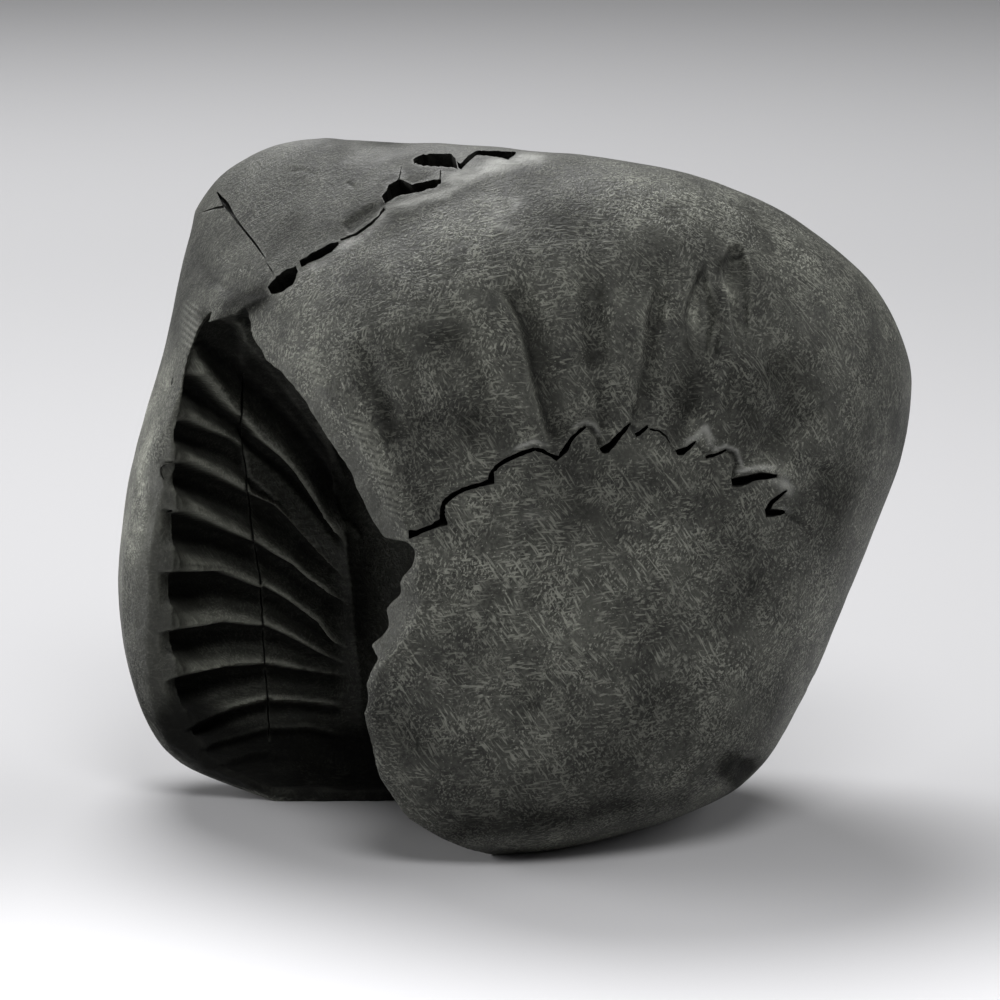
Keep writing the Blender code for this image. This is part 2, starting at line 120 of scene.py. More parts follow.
def by_height(z: Array, pairs: Pairs | Array) -> Array:
    """Value at each height z on the cubic through (z, value) pairs."""
    knots, values = np.array(pairs, float).T
    return open_curve(z, knots, values)


def smooth_step(value: Array, low: float | Array, high: float | Array) -> Array:
    """0 below low, 1 above high, and an S-shaped rise between them."""
    t = np.clip((value - low) / (high - low), 0.0, 1.0)
    return t * t * (3 - 2 * t)


def in_steps(points: Pairs | Array, steps: int) -> Array:
    """A polyline with each of its stretches cut into equal steps.

    Args:
        points: the polyline's corners.
        steps: how many steps each stretch gets.

    Returns:
        The points, with every corner among them.
    """
    corners = np.array(points, float)
    at = np.arange((len(corners) - 1) * steps + 1) / steps
    knots = np.arange(len(corners))
    return np.stack([np.interp(at, knots, column) for column in corners.T], axis=-1)


@dataclass(frozen=True)
class Trail:
    """A polyline on the face as it is seen from the front, with the place of other points beside it."""

    corners: Array

    def near(self, u: Array, v: Array, reach: float) -> NDArray[np.int64]:
        """Which points lie in the trail's bounding rectangle, let out by a reach on each side."""
        low, high = self.corners.min(0) - reach, self.corners.max(0) + reach
        return np.nonzero((u > low[0]) & (u < high[0]) & (v > low[1]) & (v < high[1]))[0]

    def beside(self, u: Array, v: Array) -> tuple[Array, Array]:
        """How far points lie from the trail and how far along it.

        Args:
            u: seen places across.
            v: seen places up.

        Returns:
            The signed distance, positive on the left of a trail that runs down, and the share of its length.
        """
        place = np.stack([u, v], axis=-1)
        lengths = np.linalg.norm(np.diff(self.corners, axis=0), axis=1)
        run = np.concatenate([[0.0], np.cumsum(lengths)])
        best, share, side = np.full(len(u), 1e9), np.zeros(len(u)), np.ones(len(u))
        for start, end, length, before in zip(self.corners, self.corners[1:], lengths, run):
            way = (end - start) / length
            offset = place - start
            t = np.clip(offset @ way, 0.0, length)
            distance = np.linalg.norm(offset - t[:, None] * way, axis=1)
            closer = distance < best
            best = np.where(closer, distance, best)
            share = np.where(closer, (before + t) / run[-1], share)
            turn = np.where(offset[:, 0] * way[1] < offset[:, 1] * way[0], -1.0, 1.0)
            side = np.where(closer, turn, side)
        return best * side, share


@dataclass(frozen=True)
class Grain:
    """Smooth seeded noise in space: random values on a cubic lattice, blended between its points.

    The blend weight in each direction is the S-curve of the place within the cell.
    """

    seed: int
    period: int = 32

    def at(self, points: Array, size: float | Triple) -> Array:
        """Noise between -1 and 1.

        Args:
            points: places in mm.
            size: spacing of the lattice in mm, one number or one for each direction.

        Returns:
            The noise at each place.
        """
        lattice = np.random.default_rng(self.seed).uniform(-1.0, 1.0, (self.period,) * 3)
        place = points / np.array(size, float) + 0.5
        cell = np.floor(place).astype(int)
        share = place - cell
        share = share * share * (3 - 2 * share)
        total = np.zeros(len(points))
        for corner in range(8):
            step = np.array([corner >> 2 & 1, corner >> 1 & 1, corner & 1])
            weight = np.prod(np.where(step == 1, share, 1 - share), axis=1)
            index = (cell + step) % self.period
            total += weight * lattice[index[:, 0], index[:, 1], index[:, 2]]
        return total

    def layered(self, points: Array, size: float, layers: int) -> Array:
        """Sum of layers of noise, each half the size and half the strength of the one before.

        Args:
            points: places in mm.
            size: spacing of the first layer in mm.
            layers: how many layers there are.

        Returns:
            The noise at each place.
        """
        return sum(
            (Grain(self.seed + i, self.period).at(points, size / 2**i) / 2**i for i in range(layers)),
            start=np.zeros(len(points)),
        )


# --- the frame it is drawn in


@dataclass(frozen=True)
class Profile:
    """The profile frame, the place it is seen from, and how the stone stands in the room.

    A drawn point leans back about x, is lifted by the height of the lump's centre, is shifted so that the
    footprint's middle is the middle of the CAD box, and is scaled so that the drawn width fills that box.
    """

    lean: float = math.radians(12.0)
    centre_height: float = 34.6
    middle: tuple[float, float] = (-0.27, 0.25)
    drawn_width: float = 86.55
    eye_x: float = -1.6
    eye_distance: float = 550.0

    def unit(self) -> float:
        """Metres for each drawn millimetre, from the width of the CAD box."""
        low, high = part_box(NODE)
        return (high.x - low.x) / self.drawn_width

    def to_room(self, points: Array) -> Array:
        """Profile points in mm to the standing stone in metres.

        Args:
            points: profile points in mm.

        Returns:
            The points in metres.
        """
        low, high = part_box(NODE)
        x, y, z = points.T
        c, s = math.cos(self.lean), math.sin(self.lean)
        across = x - self.middle[0]
        inward = y * c + z * s - self.middle[1]
        up = z * c - y * s + self.centre_height * c
        stood = np.stack([across, inward, up], axis=-1)
        return stood * self.unit() + np.array([(low.x + high.x) / 2, (low.y + high.y) / 2, low.z])

    def seen(self, points: Array) -> tuple[Array, Array]:
        """Where profile points appear on the plane y = 0 from the eye in front, as (u, v) in mm."""
        grow = self.eye_distance / (self.eye_distance + points[:, 1])
        return self.eye_x + (points[:, 0] - self.eye_x) * grow, points[:, 2] * grow

    def behind(self, seen: Array, y: Array | float) -> Array:
        """Profile points at depth y on the lines of sight through seen places.

        Args:
            seen: places (u, v) on the plane y = 0.
            y: depth of each point.

        Returns:
            The points (x, y, z).
        """
        share = 1 + np.broadcast_to(y, len(seen)) / self.eye_distance
        x = self.eye_x + (seen[:, 0] - self.eye_x) * share
        return np.stack([x, np.broadcast_to(y, len(seen)), seen[:, 1] * share], axis=-1)


PROFILE = Profile()


# --- meshes


def placed(name: str, data: bpy.types.ID) -> Piece:
    """A new object of a mesh, lamp or camera, in the scene.

    Args:
        name: name of the object.
        data: its mesh, lamp or camera.

    Returns:
        The object.
    """
    item = bpy.data.objects.new(name, data)
    bpy.context.scene.collection.objects.link(item)
    return item


def take_away(items: list[Piece]) -> None:
    """Removes objects that are no longer needed."""
    for item in items:
        bpy.data.objects.remove(item)


class Part(Enum):
    """What a mesh is for: the stone itself, or a shape that is cut out of it and then removed."""

    STONE = "stone"
    CUTTER = "cutter"


def loft(name: str, rings: Array, part: Part = Part.CUTTER) -> Piece:
    """Closed mesh skinned over rings of points, with a fan of triangles over each end.

    Args:
        name: name of the object.
        rings: points of shape (rings, points in a ring, 3), in mm.
        part: what the mesh is for.

    Returns:
        The object, with its faces pointing out.
    """
    count, size = rings.shape[:2]
    points = np.concatenate([rings.reshape(-1, 3), rings[0].mean(0)[None], rings[-1].mean(0)[None]])
    row, col = np.meshgrid(np.arange(count - 1), np.arange(size), indexing="ij")
    after = (col + 1) % size
    here, there, end = row * size, (row + 1) * size, (count - 1) * size
    quads = np.stack([here + col, here + after, there + after, there + col], axis=-1)
    i = np.arange(size)
    j = (i + 1) % size
    first = np.stack([j, i, np.full(size, count * size)], axis=-1)
    last = np.stack([end + i, end + j, np.full(size, count * size + 1)], axis=-1)
    halves = [quads[..., corners].reshape(-1, 3) for corners in ([0, 1, 2], [0, 2, 3])]
    triangles = np.concatenate([*halves, first, last])
    a, b, c = (points[triangles[:, k]] for k in range(3))
    if np.einsum("ij,ij->", a, np.cross(b, c)) < 0:
        triangles = triangles[:, ::-1]
    mesh = bpy.data.meshes.new(name)
    mesh.from_pydata(points.tolist(), [], triangles.tolist())
    item = placed(name, mesh)
    item.hide_render = part is Part.CUTTER
    return item


def together(name: str, pieces: list[Piece]) -> Piece:
    """One cutter made of several that don't touch one another; they are taken away.

    Args:
        name: name of the new object.
        pieces: the cutters to join.

    Returns:
        The joined cutter.
    """
    joined = bmesh.new()
    for piece in pieces:
        joined.from_mesh(piece.data)
    take_away(pieces)
    mesh = bpy.data.meshes.new(name)
    joined.to_mesh(mesh)
    joined.free()
    item = placed(name, mesh)
    item.hide_render = True
    return item


@dataclass
class Surface:
    """A mesh's points and edges as arrays, for wear and relief."""

    points: Array
    edges: NDArray[np.int64]
    spread: NDArray[np.float64] = field(init=False)

    def __post_init__(self) -> None:
        """Counts each point's neighbours."""
        self.spread = np.bincount(self.edges.ravel(), minlength=len(self.points)).astype(float)

    @classmethod
    def read(cls, mesh: bpy.types.Mesh) -> "Surface":
        """The surface of a mesh.

        Args:
            mesh: the mesh.

        Returns:
            Its surface.
        """
        points = np.empty(len(mesh.vertices) * 3, np.float32)
        mesh.vertices.foreach_get("co", points)
        edges = np.empty(len(mesh.edges) * 2, np.int32)
        mesh.edges.foreach_get("vertices", edges)
        return cls(points.reshape(-1, 3).astype(float), edges.reshape(-1, 2).astype(np.int64))

    def write(self, mesh: bpy.types.Mesh) -> None:
        """Puts the points back into a mesh."""
        mesh.vertices.foreach_set("co", self.points.astype(np.float32).ravel())
        mesh.update()

    def around(self, values: Array) -> Array:
        """Mean of each point's neighbours, for values of shape (points,) or (points, n).

        Args:
            values: numbers of shape (points,) or (points, n).

        Returns:
            The means, in the same shape.
        """
        flat = values.reshape(len(values), -1)
        a, b = self.edges.T
        total = np.stack(
            [
                np.bincount(a, column[b], len(flat)) + np.bincount(b, column[a], len(flat))
                for column in flat.T
            ],
            axis=-1,
        )
        return (total / np.maximum(self.spread, 1.0)[:, None]).reshape(values.shape)

    def smooth(self, rounds: int, share: Array | float = 0.5) -> None:
        """Moves each point a share of the way to its neighbours' mean, several times.

        Args:
            rounds: how many times.
            share: one number, or one for each point.
        """
        weight = np.broadcast_to(share, len(self.points))[:, None]
        for _ in range(rounds):
            self.points += weight * (self.around(self.points) - self.points)

    def bend(self, normals: Array, rounds: int) -> Array:
        """How hollow the surface is at each point: positive in creases and negative on edges.

        Args:
            normals: outward unit normals.
            rounds: how many times the result is averaged over the neighbours.

        Returns:
            The height of the neighbours' mean above each point, in mm.
        """
        hollow = np.einsum("ij,ij->i", self.around(self.points) - self.points, normals)
        for _ in range(rounds):
            hollow = 0.5 * hollow + 0.5 * self.around(hollow)
        return hollow


def normals_of(mesh: bpy.types.Mesh) -> Array:
    """Outward unit normals at a mesh's points.

    Args:
        mesh: the mesh.

    Returns:
        One row for each point.
    """
    normals = np.empty(len(mesh.vertices) * 3, np.float32)
    mesh.vertex_normals.foreach_get("vector", normals)
    return normals.reshape(-1, 3).astype(float)


# --- the lump


@dataclass(frozen=True)
class Lump:
    """The rounded nodule before anything is cut from it."""

    outline: Pairs = along(-28, 38, -18.3, 38.5, -7, 38.3, 0, 37.7, 9.1, 36.8, 20, 34.6, 31.4, 29.5, 39.4,
        22.5, 42.9, 14.9, 42.7, 7.9, 39.3, -2.1, 35.7, -10.8, 30.9, -21.6, 25.4, -30, 20, -33.5, 12, -37,
        0, -40.5, -12, -40.2, -21.4, -37.2, -28.8, -33.3, -34.7, -30.5, -39.6, -25.5, -42.3, -19, -43.5,
        -11, -43.1, -2.2, -40.7, 8.6, -38.1, 17.6, -36.9, 24.2, -34.7, 30.5, -31.9, 35.7)
    face_depth: float = 29.0
    back_depth: float = 27.0
    face_fullness: float = 2.7
    back_fullness: float = 2.3
    sweep_reach: float = 40.0
    left_sweep: float = 13.0
    right_sweep: float = 7.0
    facets: Facets = (
        ((-0.35, -0.62, 0.70), 35.8),
        ((0.10, -0.97, -0.12), 31.0),
        ((0.00, 0.21, -0.98), 36.6),
        ((0.45, 0.80, 0.35), 33.5),
        ((-0.35, 0.85, -0.30), 32.0),
    )
    facet_blend: float = 12.0
    cap_give: float = 0.52
    undulation: float = 0.35
    halvings: int = 34
    sight_steps: int = 6
    rows: int = 200
    columns: int = 300

    def sweep(self, x: Array) -> Array:
        """How far back the lump is swept at x, so that it bulges towards the face in the middle."""
        return np.where(x < 0, self.left_sweep, self.right_sweep) * (x / self.sweep_reach) ** 2

    def pull(self, direction: Array, facets: Facets) -> Array:
        """How strongly worn facets hold the lump in: the sum of (facing / distance) to the blend power.

        Args:
            direction: unit directions from the centre.
            facets: the normal of each facet and its distance in mm.

        Returns:
            The sum in each direction.
        """
        total = np.zeros(len(direction))
        for normal, distance in facets:
            facing = direction @ (np.array(normal) / np.linalg.norm(normal))
            total += np.maximum(facing / distance, 0.0) ** self.facet_blend
        return total

    def radius(self, direction: Array) -> Array:
        """Distance from the centre to the unswept surface.

        A super-ellipsoid carries the outline round to the front and the back, each worn facet is a plane, and
        a power mean joins them with rounded edges. The outline is let out where the cap's slope takes it in.

        Args:
            direction: unit directions from the centre.

        Returns:
            The distance in mm along each.
        """
        x, y, z = direction.T
        outline = np.array(self.outline)
        span = np.hypot(x, z)
        rim = closed_curve(np.arctan2(z, x), np.arctan2(outline[:, 1], outline[:, 0]), np.hypot(*outline.T))
        level = np.stack([x, np.zeros_like(x), z], axis=-1) / np.maximum(span, 1e-9)[:, None]
        taken = np.minimum(self.pull(level, self.facets[:1]) * rim**self.facet_blend, self.cap_give)
        rim = rim * (1 - taken) ** (-1 / self.facet_blend)
        full = np.where(y < 0, self.face_fullness, self.back_fullness)
        deep = np.where(y < 0, self.face_depth, self.back_depth)
        inverse = ((span / rim) ** full + (np.abs(y) / deep) ** full) ** (self.facet_blend / full)
        wave = np.sin(3.1 * x + 2.3 * z + 0.6) + np.sin(4.3 * y - 2.7 * x + 1.9) + np.sin(3.7 * z + 2.9 * y)
        hidden = smooth_step(y, -0.1, 0.5)
        plain = (inverse + self.pull(direction, self.facets)) ** (-1 / self.facet_blend)
        return plain + self.undulation * hidden * wave

    def below_skin(self, points: Array) -> Array:
        """How far inside the lump's own surface each profile point lies, in mm along its radius.

        Args:
            points: profile points.

        Returns:
            The depth in mm, which is below 0 outside.
        """
        unswept = points.copy()
        unswept[:, 1] -= self.sweep(points[:, 0])
        length = np.linalg.norm(unswept, axis=1)
        return self.radius(unswept / length[:, None]) - length

    def depth(self, x: Array, z: Array) -> Array:
        """Depth y of the face at each (x, z), found by halving the range between face and middle.

        Args:
            x: places across.
            z: places up.

        Returns:
            The depth at each place.
        """
        near, far = np.full_like(x, -2.0 * self.face_depth), np.zeros_like(x)
        for _ in range(self.halvings):
            middle = (near + far) / 2
            point = np.stack([x, middle, z], axis=-1)
            length = np.linalg.norm(point, axis=-1)
            outside = length > self.radius(point / length[:, None])
            near, far = np.where(outside, middle, near), np.where(outside, far, middle)
        return far + self.sweep(x)

    def on_face(self, seen: Array) -> Array:
        """Points of the face that are seen at (u, v), by following each line of sight in a few steps.

        Args:
            seen: places (u, v) on the plane y = 0.

        Returns:
            The points (x, y, z).
        """
        y = np.full(len(seen), -self.face_depth)
        for _ in range(self.sight_steps):
            place = PROFILE.behind(seen, y)
            y = 0.3 * y + 0.7 * self.depth(place[:, 0], place[:, 2])
        return PROFILE.behind(seen, y)

    def shell(self) -> Piece:
        """The lump's mesh: rings round the y axis from the front pole to the back pole.

        Returns:
            The lump, under the name of the stone that it becomes.
        """
        polar = np.linspace(0.0, math.pi, self.rows + 2)[1:-1, None]
        turn = np.linspace(0.0, 2 * math.pi, self.columns, endpoint=False)[None, :]
        inward = -np.cos(polar) * np.ones_like(turn)
        direction = np.stack([np.sin(polar) * np.cos(turn), inward, np.sin(polar) * np.sin(turn)], axis=-1)
        flat = direction.reshape(-1, 3)
        points = flat * self.radius(flat)[:, None]
        points[:, 1] += self.sweep(points[:, 0])
        return loft("worn_stone", points.reshape(direction.shape), Part.STONE)


# --- what is cut out of it

BREAK: Pairs = along(-46, 12.2, -32, 7.6, -20, 3.6, -8, -0.4, 2, -3.6, 9, -5.3, 15, -5.8, 24, -5)
"""Depth y of the left lobe's broken face, as (z, y): it leans, and turns back under the cap."""


@dataclass(frozen=True)
class Mould:
    """The bowl that the ammonite left behind the left lobe's broken face, before its ribs are added."""

    left_end: Pairs = along(-31.5, -26.5, -30.2, -29, -28.4, -32, -25.5, -34.4, -21.5, -36, -16, -36.7,
        -10.8, -36.8, -5.4, -36.5, 0, -36.2, 5.4, -36.2, 10.8, -35.6, 16.1, -34.6, 20, -32.4, 22.5, -28.5)
    right_end: float = -10.0
    middle: float = -4.0
    half_height: float = 28.5
    top: float = 20.3
    bottom: float = -31.6
    depth: float = 16.0
    forward: float = 1.2
    fullness: float = 2.4
    rows: int = 150
    columns: int = 90

    def left(self, z: Array) -> Array:
        """The bowl's left end at each height."""
        return by_height(z, self.left_end)

    def cutter(self) -> Piece:
        """Level rings from bottom to top, each out along the far wall and back along the front.

        The wall's depth is a super-ellipse of x and z behind the broken face:
        start + depth * (1 - |rise|^n)^(1/n) * sin(turn)^(2/n).

        Returns:
            The cutter.
        """
        z = np.linspace(self.bottom, self.top, self.rows)[:, None]
        turn = np.linspace(0, math.pi, self.columns)[None, :]
        left = self.left(z[:, 0])[:, None]
        x = (left + self.right_end) / 2 - (self.right_end - left) / 2 * np.cos(turn)
        bow = np.sin(turn) ** (2 / self.fullness)
        rise = np.minimum(np.abs((z - self.middle) / self.half_height), 0.99)
        share = (1 - rise**self.fullness) ** (1 / self.fullness)
        start = by_height(z[:, 0], BREAK)[:, None]
        level = np.broadcast_to(z, x.shape)
        wall = np.stack([x, start + self.depth * share * bow, level], axis=-1)
        near = np.stack([x, start - self.forward * share * bow, level], axis=-1)[:, 1:-1]
        return loft("mould_cutter", np.concatenate([wall, near[:, ::-1]], axis=1))


@dataclass(frozen=True)
class Ribs:
    """The ammonite's ribs in the hollow, drawn by their crests to the left and right of a middle line.

    Below each crest the wall steps back, stays low, and swells out again to the next crest.
    """

    middle: Pairs = along(26, -30.2, 11.8, -29.3, 7.5, -29.5, 1.4, -28.8, -4.2, -28.1, -8.8, -27.4, -12.6,
        -27.2, -16.6, -27, -21.5, -26.6, -25.8, -26.4, -34, -26.2)
    left: tuple[Pairs, ...] = (
        along(-38, 22.5, -33.2, 21.5, -30.5, 19.8, -28, 18),
        along(-38, 15.2, -34.4, 13.5, -33, 11.9, -31.5, 10.3, -29.4, 8.5, -28, 7.6),
        along(-38, 9.6, -35.7, 8.8, -33.9, 8.1, -30.7, 7, -29.4, 6, -28, 5.2),
        along(-38.5, 4.8, -35.8, 4.3, -32.5, 3, -28.7, 1.1, -27.5, 0.5),
        along(-38.5, -0.2, -35.8, -0.9, -32.5, -2.4, -28.2, -4.1, -27, -4.5),
        along(-39, -6.9, -37.3, -7.3, -32.5, -7.1, -27.8, -9, -26.5, -9.5),
        along(-39, -13.8, -36.6, -13.6, -32.1, -12.7, -27.4, -13.2, -26, -13.4),
        along(-39, -19.3, -36.6, -18.6, -31.7, -17.6, -26.9, -17.3, -26, -17.3),
        along(-38, -26.2, -35.3, -24.5, -30.7, -22.4, -26.7, -21.4, -26, -21.3),
        along(-37, -28.6, -35, -26.9, -29.9, -25.7, -26.7, -24.7, -26, -24.6),
        along(-36, -31, -32.5, -28.4, -26.4, -26.9, -25.5, -26.8),
        along(-36, -34, -32, -31.5, -26, -30),
    )
    right: tuple[Pairs, ...] = (
        along(-30.5, 19, -27.5, 15.5, -25, 12.5, -20.5, 6.5, -17, 0),
        along(-30.5, 10, -29.3, 8.8, -28.2, 7.4, -25.3, 5.2, -23.9, 3.8, -21.5, 0.5, -17, -6.5),
        along(-30, 3.4, -28.5, 2.3, -27, 1, -24.5, -1.5, -22, -4.3, -18, -8.6),
        along(-30, 1.6, -28.7, 1.1, -25.6, -0.2, -22.4, -3.1, -21, -4.8, -19.4, -6.7, -16.5, -10.2),
        along(-29.5, -3, -28, -4.1, -26.4, -5.2, -24, -6.5, -22.4, -7.9, -19.2, -10, -16.5, -11.8),
        along(-28.5, -8.3, -27.1, -8.9, -24.5, -10.4, -21, -12.9, -19.4, -15.1, -17.5, -16.4),
        along(-28.5, -12.8, -27.1, -13.1, -24.5, -14.3, -21.3, -16.1, -18, -17.8),
        along(-28.5, -17.2, -26.7, -17.4, -22.4, -18.1, -19.6, -18.5, -16, -18.9),
        along(-28.5, -21.5, -26.6, -21.5, -22.4, -21.7, -17.4, -22.3, -15, -22.7),
        along(-28.5, -24.8, -26.7, -24.7, -22.4, -24.4, -16.4, -25.8, -14, -26.5),
        along(-28.5, -27.5, -26.4, -27.4, -22, -27.6, -14, -29.6),
        along(-28.5, -31.5, -22, -31, -14, -33),
    )
    left_strength: tuple[float, ...] = (0.5, 1.0, 0.8, 1.0, 1.0, 1.0, 1.0, 1.0, 0.9, 0.6, 0.5, 0.3)
    right_strength: tuple[float, ...] = (0.25, 0.9, 0.25, 1.0, 1.0, 1.0, 1.0, 0.9, 0.8, 0.6, 0.4, 0.3)
    across: tuple[float, ...] = (0.0, 0.03, 0.12, 0.19, 0.33, 0.46, 0.60, 0.75, 0.89, 1.0)
    swell: tuple[float, ...] = (1.0, 0.85, -0.75, -1.0, -1.0, -0.75, -0.25, 0.3, 0.9, 1.0)
    height_share: float = 0.32
    most: float = 1.9

    def half(self, u: Array, v: Array, crests: tuple[Pairs, ...], strength: tuple[float, ...]) -> Array:
        """Height of one half's ribs at seen places.

        Between two crests the height is the swell at the share of the way down, times the crests' spacing.

        Args:
            u: seen places across.
            v: seen places up.
            crests: crest lines from top to bottom.
            strength: how strong each one is.

        Returns:
            The height in mm.
        """
        lines = np.stack([np.interp(u, *np.array(line).T) for line in crests], axis=-1)
        lines = np.minimum.accumulate(lines - 0.4 * np.arange(len(crests)) * 1e-3, axis=-1)
        upper = np.clip((v[:, None] < lines).sum(axis=1) - 1, 0, len(crests) - 2)
        row = np.arange(len(u))
        top, low = lines[row, upper], lines[row, upper + 1]
        spacing = np.maximum(top - low, 0.2)
        share = np.clip((top - v) / spacing, 0.0, 1.0)
        power = np.array(strength)
        handed_on = smooth_step(share, 0.3, 0.5)
        mixed = power[upper] * (1 - handed_on) + power[upper + 1] * handed_on
        size = np.minimum(self.height_share * spacing, self.most)
        return np.interp(share, self.across, self.swell) * size * mixed

    def height(self, u: Array, v: Array) -> Array:
        """Height of all the ribs at seen places, joined across the middle line.

        Args:
            u: seen places across.
            v: seen places up.

        Returns:
            The height in mm.
        """
        middle = np.interp(-v, -np.array(self.middle)[:, 0], np.array(self.middle)[:, 1])
        blend = smooth_step(u, middle - 0.35, middle + 0.35)
        left = self.half(u, v, self.left, self.left_strength)
        right = self.half(u, v, self.right, self.right_strength)
        end = 1 - smooth_step(u, -20.2, -17.6)
        return left * (1 - blend) + right * blend * end


@dataclass(frozen=True)
class Pocket:
    """The smooth umbilical pocket behind the front mass: level rounded sections, one above another."""

    sections: tuple[tuple[float, float, float, float, float], ...] = (
        (-29.5, -13.0, 4.0, 5.0, 12.0), (-27.0, -12.0, 7.0, 0.0, 16.0), (-20.0, -11.5, 8.0, -6.0, 18.0),
        (-8.0, -11.5, 8.0, -9.0, 18.0), (2.0, -13.5, 7.5, -10.5, 15.0), (9.0, -17.0, 5.5, -11.0, 10.0),
        (13.0, -19.5, 3.5, -10.0, 5.0),
    )
    fullness: float = 3.0
    rows: int = 60
    columns: int = 72

    def cutter(self) -> Piece:
        """Super-ellipses whose middle, half width, front and back follow cubics of the height.

        Returns:
            The cutter.
        """
        heights = np.linspace(self.sections[0][0], self.sections[-1][0], self.rows)
        table = np.array(self.sections)
        middle, half, front, back = (by_height(heights, table[:, [0, i]])[:, None] for i in range(1, 5))
        turn = np.linspace(0, 2 * math.pi, self.columns, endpoint=False)[None, :]
        across = np.sign(np.cos(turn)) * np.abs(np.cos(turn)) ** (2 / self.fullness)
        inward = np.sign(np.sin(turn)) * np.abs(np.sin(turn)) ** (2 / self.fullness)
        rings = np.stack(
            [
                middle + half * across,
                (front + back) / 2 + (back - front) / 2 * inward,
                heights[:, None] + 0 * turn,
            ],
            axis=-1,
        )
        return loft("pocket_cutter", rings)


@dataclass(frozen=True)
class Mouth:
    """Everything broken away in front of the left lobe, up to the front mass's left edge."""

    edge: Pairs = along(-28.8, 20.6, -28.5, 18.1, -26.8, 15.1, -24.9, 13.5, -22.7, 10.8, -20.4, 6.9, -18.3,
        4.1, -17, 1.1, -15.6, -1.9, -14.2, -4, -11.8, -4.4, -10.8, -5.4, -11.1, -6.9, -12.5, -8.9, -12.3,
        -10, -13.9, -11.7, -13.6, -13.6, -15.4, -15.7, -14.8, -17, -16.1, -19.7, -15.8, -21.2, -16.3, -23,
        -15.8, -25, -14.6, -29.8, -11.6, -34.4, -8.9, -36.6, -6, -38.5, -3, -44)
    brow: Pairs = along(-26.1, 22.2, -24.6, 19.6, -22.7, 16.1, -21.4, 13.5, -19.6, 10.4, -17.1, 7.4, -15.6,
        4.8, -14.1, 1.5, -12.6, -1.3, -11.8, -2.9, -11.5, -4.1, -10.4, -5.5, -10.2, -7, -10.8, -8.8, -10.2,
        -10.3, -10.2, -11.7, -11, -13.9, -12.2, -15.6, -13.9, -17.1, -15.2, -19.8, -15, -21.2, -15.4,
        -22.9, -14.8, -25, -13.8, -29.5, -11.1, -33.8, -8.5, -35.9, -5.6, -38, -2.6, -43.5)
    steps: int = 5
    bevel_steepness: float = 0.95
    undercut: float = 0.32
    side_x: float = -48.0
    lip_fall: float = 5.1
    clearance: float = 60.0
    face_floor: float = -33.0

    def cutter(self, lump: Lump) -> Piece:
        """Rings down the brow, over the bevel to the edge, under the front mass and out to the side.

        Args:
            lump: the lump that the brow lies on.

        Returns:
            The cutter.
        """
        edge, brow = in_steps(self.edge, self.steps), in_steps(self.brow, self.steps)
        face = lump.on_face(np.stack([brow[:, 0], np.clip(brow[:, 1], self.face_floor, None)], axis=-1))[:, 1]
        width = np.linalg.norm(brow - edge, axis=-1)
        back = by_height(edge[:, 1], BREAK)
        lip = np.minimum(face + self.bevel_steepness * width, back - 1.0)
        brow_out, brow_at = PROFILE.behind(brow, -self.clearance), PROFILE.behind(brow, face)
        edge_at = PROFILE.behind(edge, lip)
        back_at = np.stack([edge_at[:, 0] + self.undercut * (back - lip), back, edge_at[:, 2]], axis=-1)
        side_z = edge_at[:, 2] - self.lip_fall * smooth_step(edge_at[:, 2], 0.0, edge_at[0, 2])
        side_x = np.full_like(face, self.side_x)
        side_back = np.stack([side_x, by_height(side_z, BREAK), side_z], axis=-1)
        side_out = np.stack([side_x, np.full_like(face, -self.clearance), side_z], axis=-1)
        bevel = [brow_at + t * (edge_at - brow_at) for t in (0.25, 0.5, 0.75)]
        sides = [back_at + t * (side_back - back_at) for t in (0.2, 0.4, 0.6, 0.8)]
        corners = [brow_out, brow_at, *bevel, edge_at, back_at, *sides, side_back, side_out]
        return loft("mouth_cutter", np.stack(corners, axis=1))


@dataclass(frozen=True)
class Shoulder:
    """The lobe's outer face: it falls back from the ridge that bounds the broken face on the outside."""

    ridge: Pairs = along(-33.5, -25, -30.7, -29.6, -29.3, -33, -27.7, -35.5, -26.4, -37.3, -24.2, -38.7,
        -21.5, -39.3, -10.8, -39.4, -6.5, -39.2, -3.2, -38.7, 0, -37.9, 2.7, -37, 5.4, -36.7, 10.8, -36.6,
        15.5, -36.4, 18.2, -37.6)
    slopes: tuple[float, float] = (1.0, 1.7)
    reaches: tuple[float, float] = (1.6, 12.0)
    clearance: float = 60.0
    rows: int = 90

    def cutter(self) -> Piece:
        """Level sections that run from the ridge out and back in two slopes, clear of everything else.

        Returns:
            The cutter.
        """
        z = np.linspace(self.ridge[0][0], self.ridge[-1][0], self.rows)
        x, start = by_height(z, self.ridge), by_height(z, BREAK)
        turn = start + self.slopes[0] * self.reaches[0]
        end = turn + self.slopes[1] * (self.reaches[1] - self.reaches[0])
        corners = (
            (x, start, z),
            (x - self.reaches[0], turn, z),
            (x - self.reaches[1], end, z),
            (x - self.reaches[1], np.full_like(z, -self.clearance), z),
            (x, np.full_like(z, -self.clearance), z),
        )
        return loft("shoulder_cutter", np.stack([np.stack(corner, axis=-1) for corner in corners], axis=1))


class Into(Enum):
    """The way that a gap goes into the stone, as a direction in the profile frame."""

    FACE = (0.0, 1.0, 0.0)
    CAP = (0.12, 0.93, -0.35)
    TOP = (0.10, 0.86, -0.50)


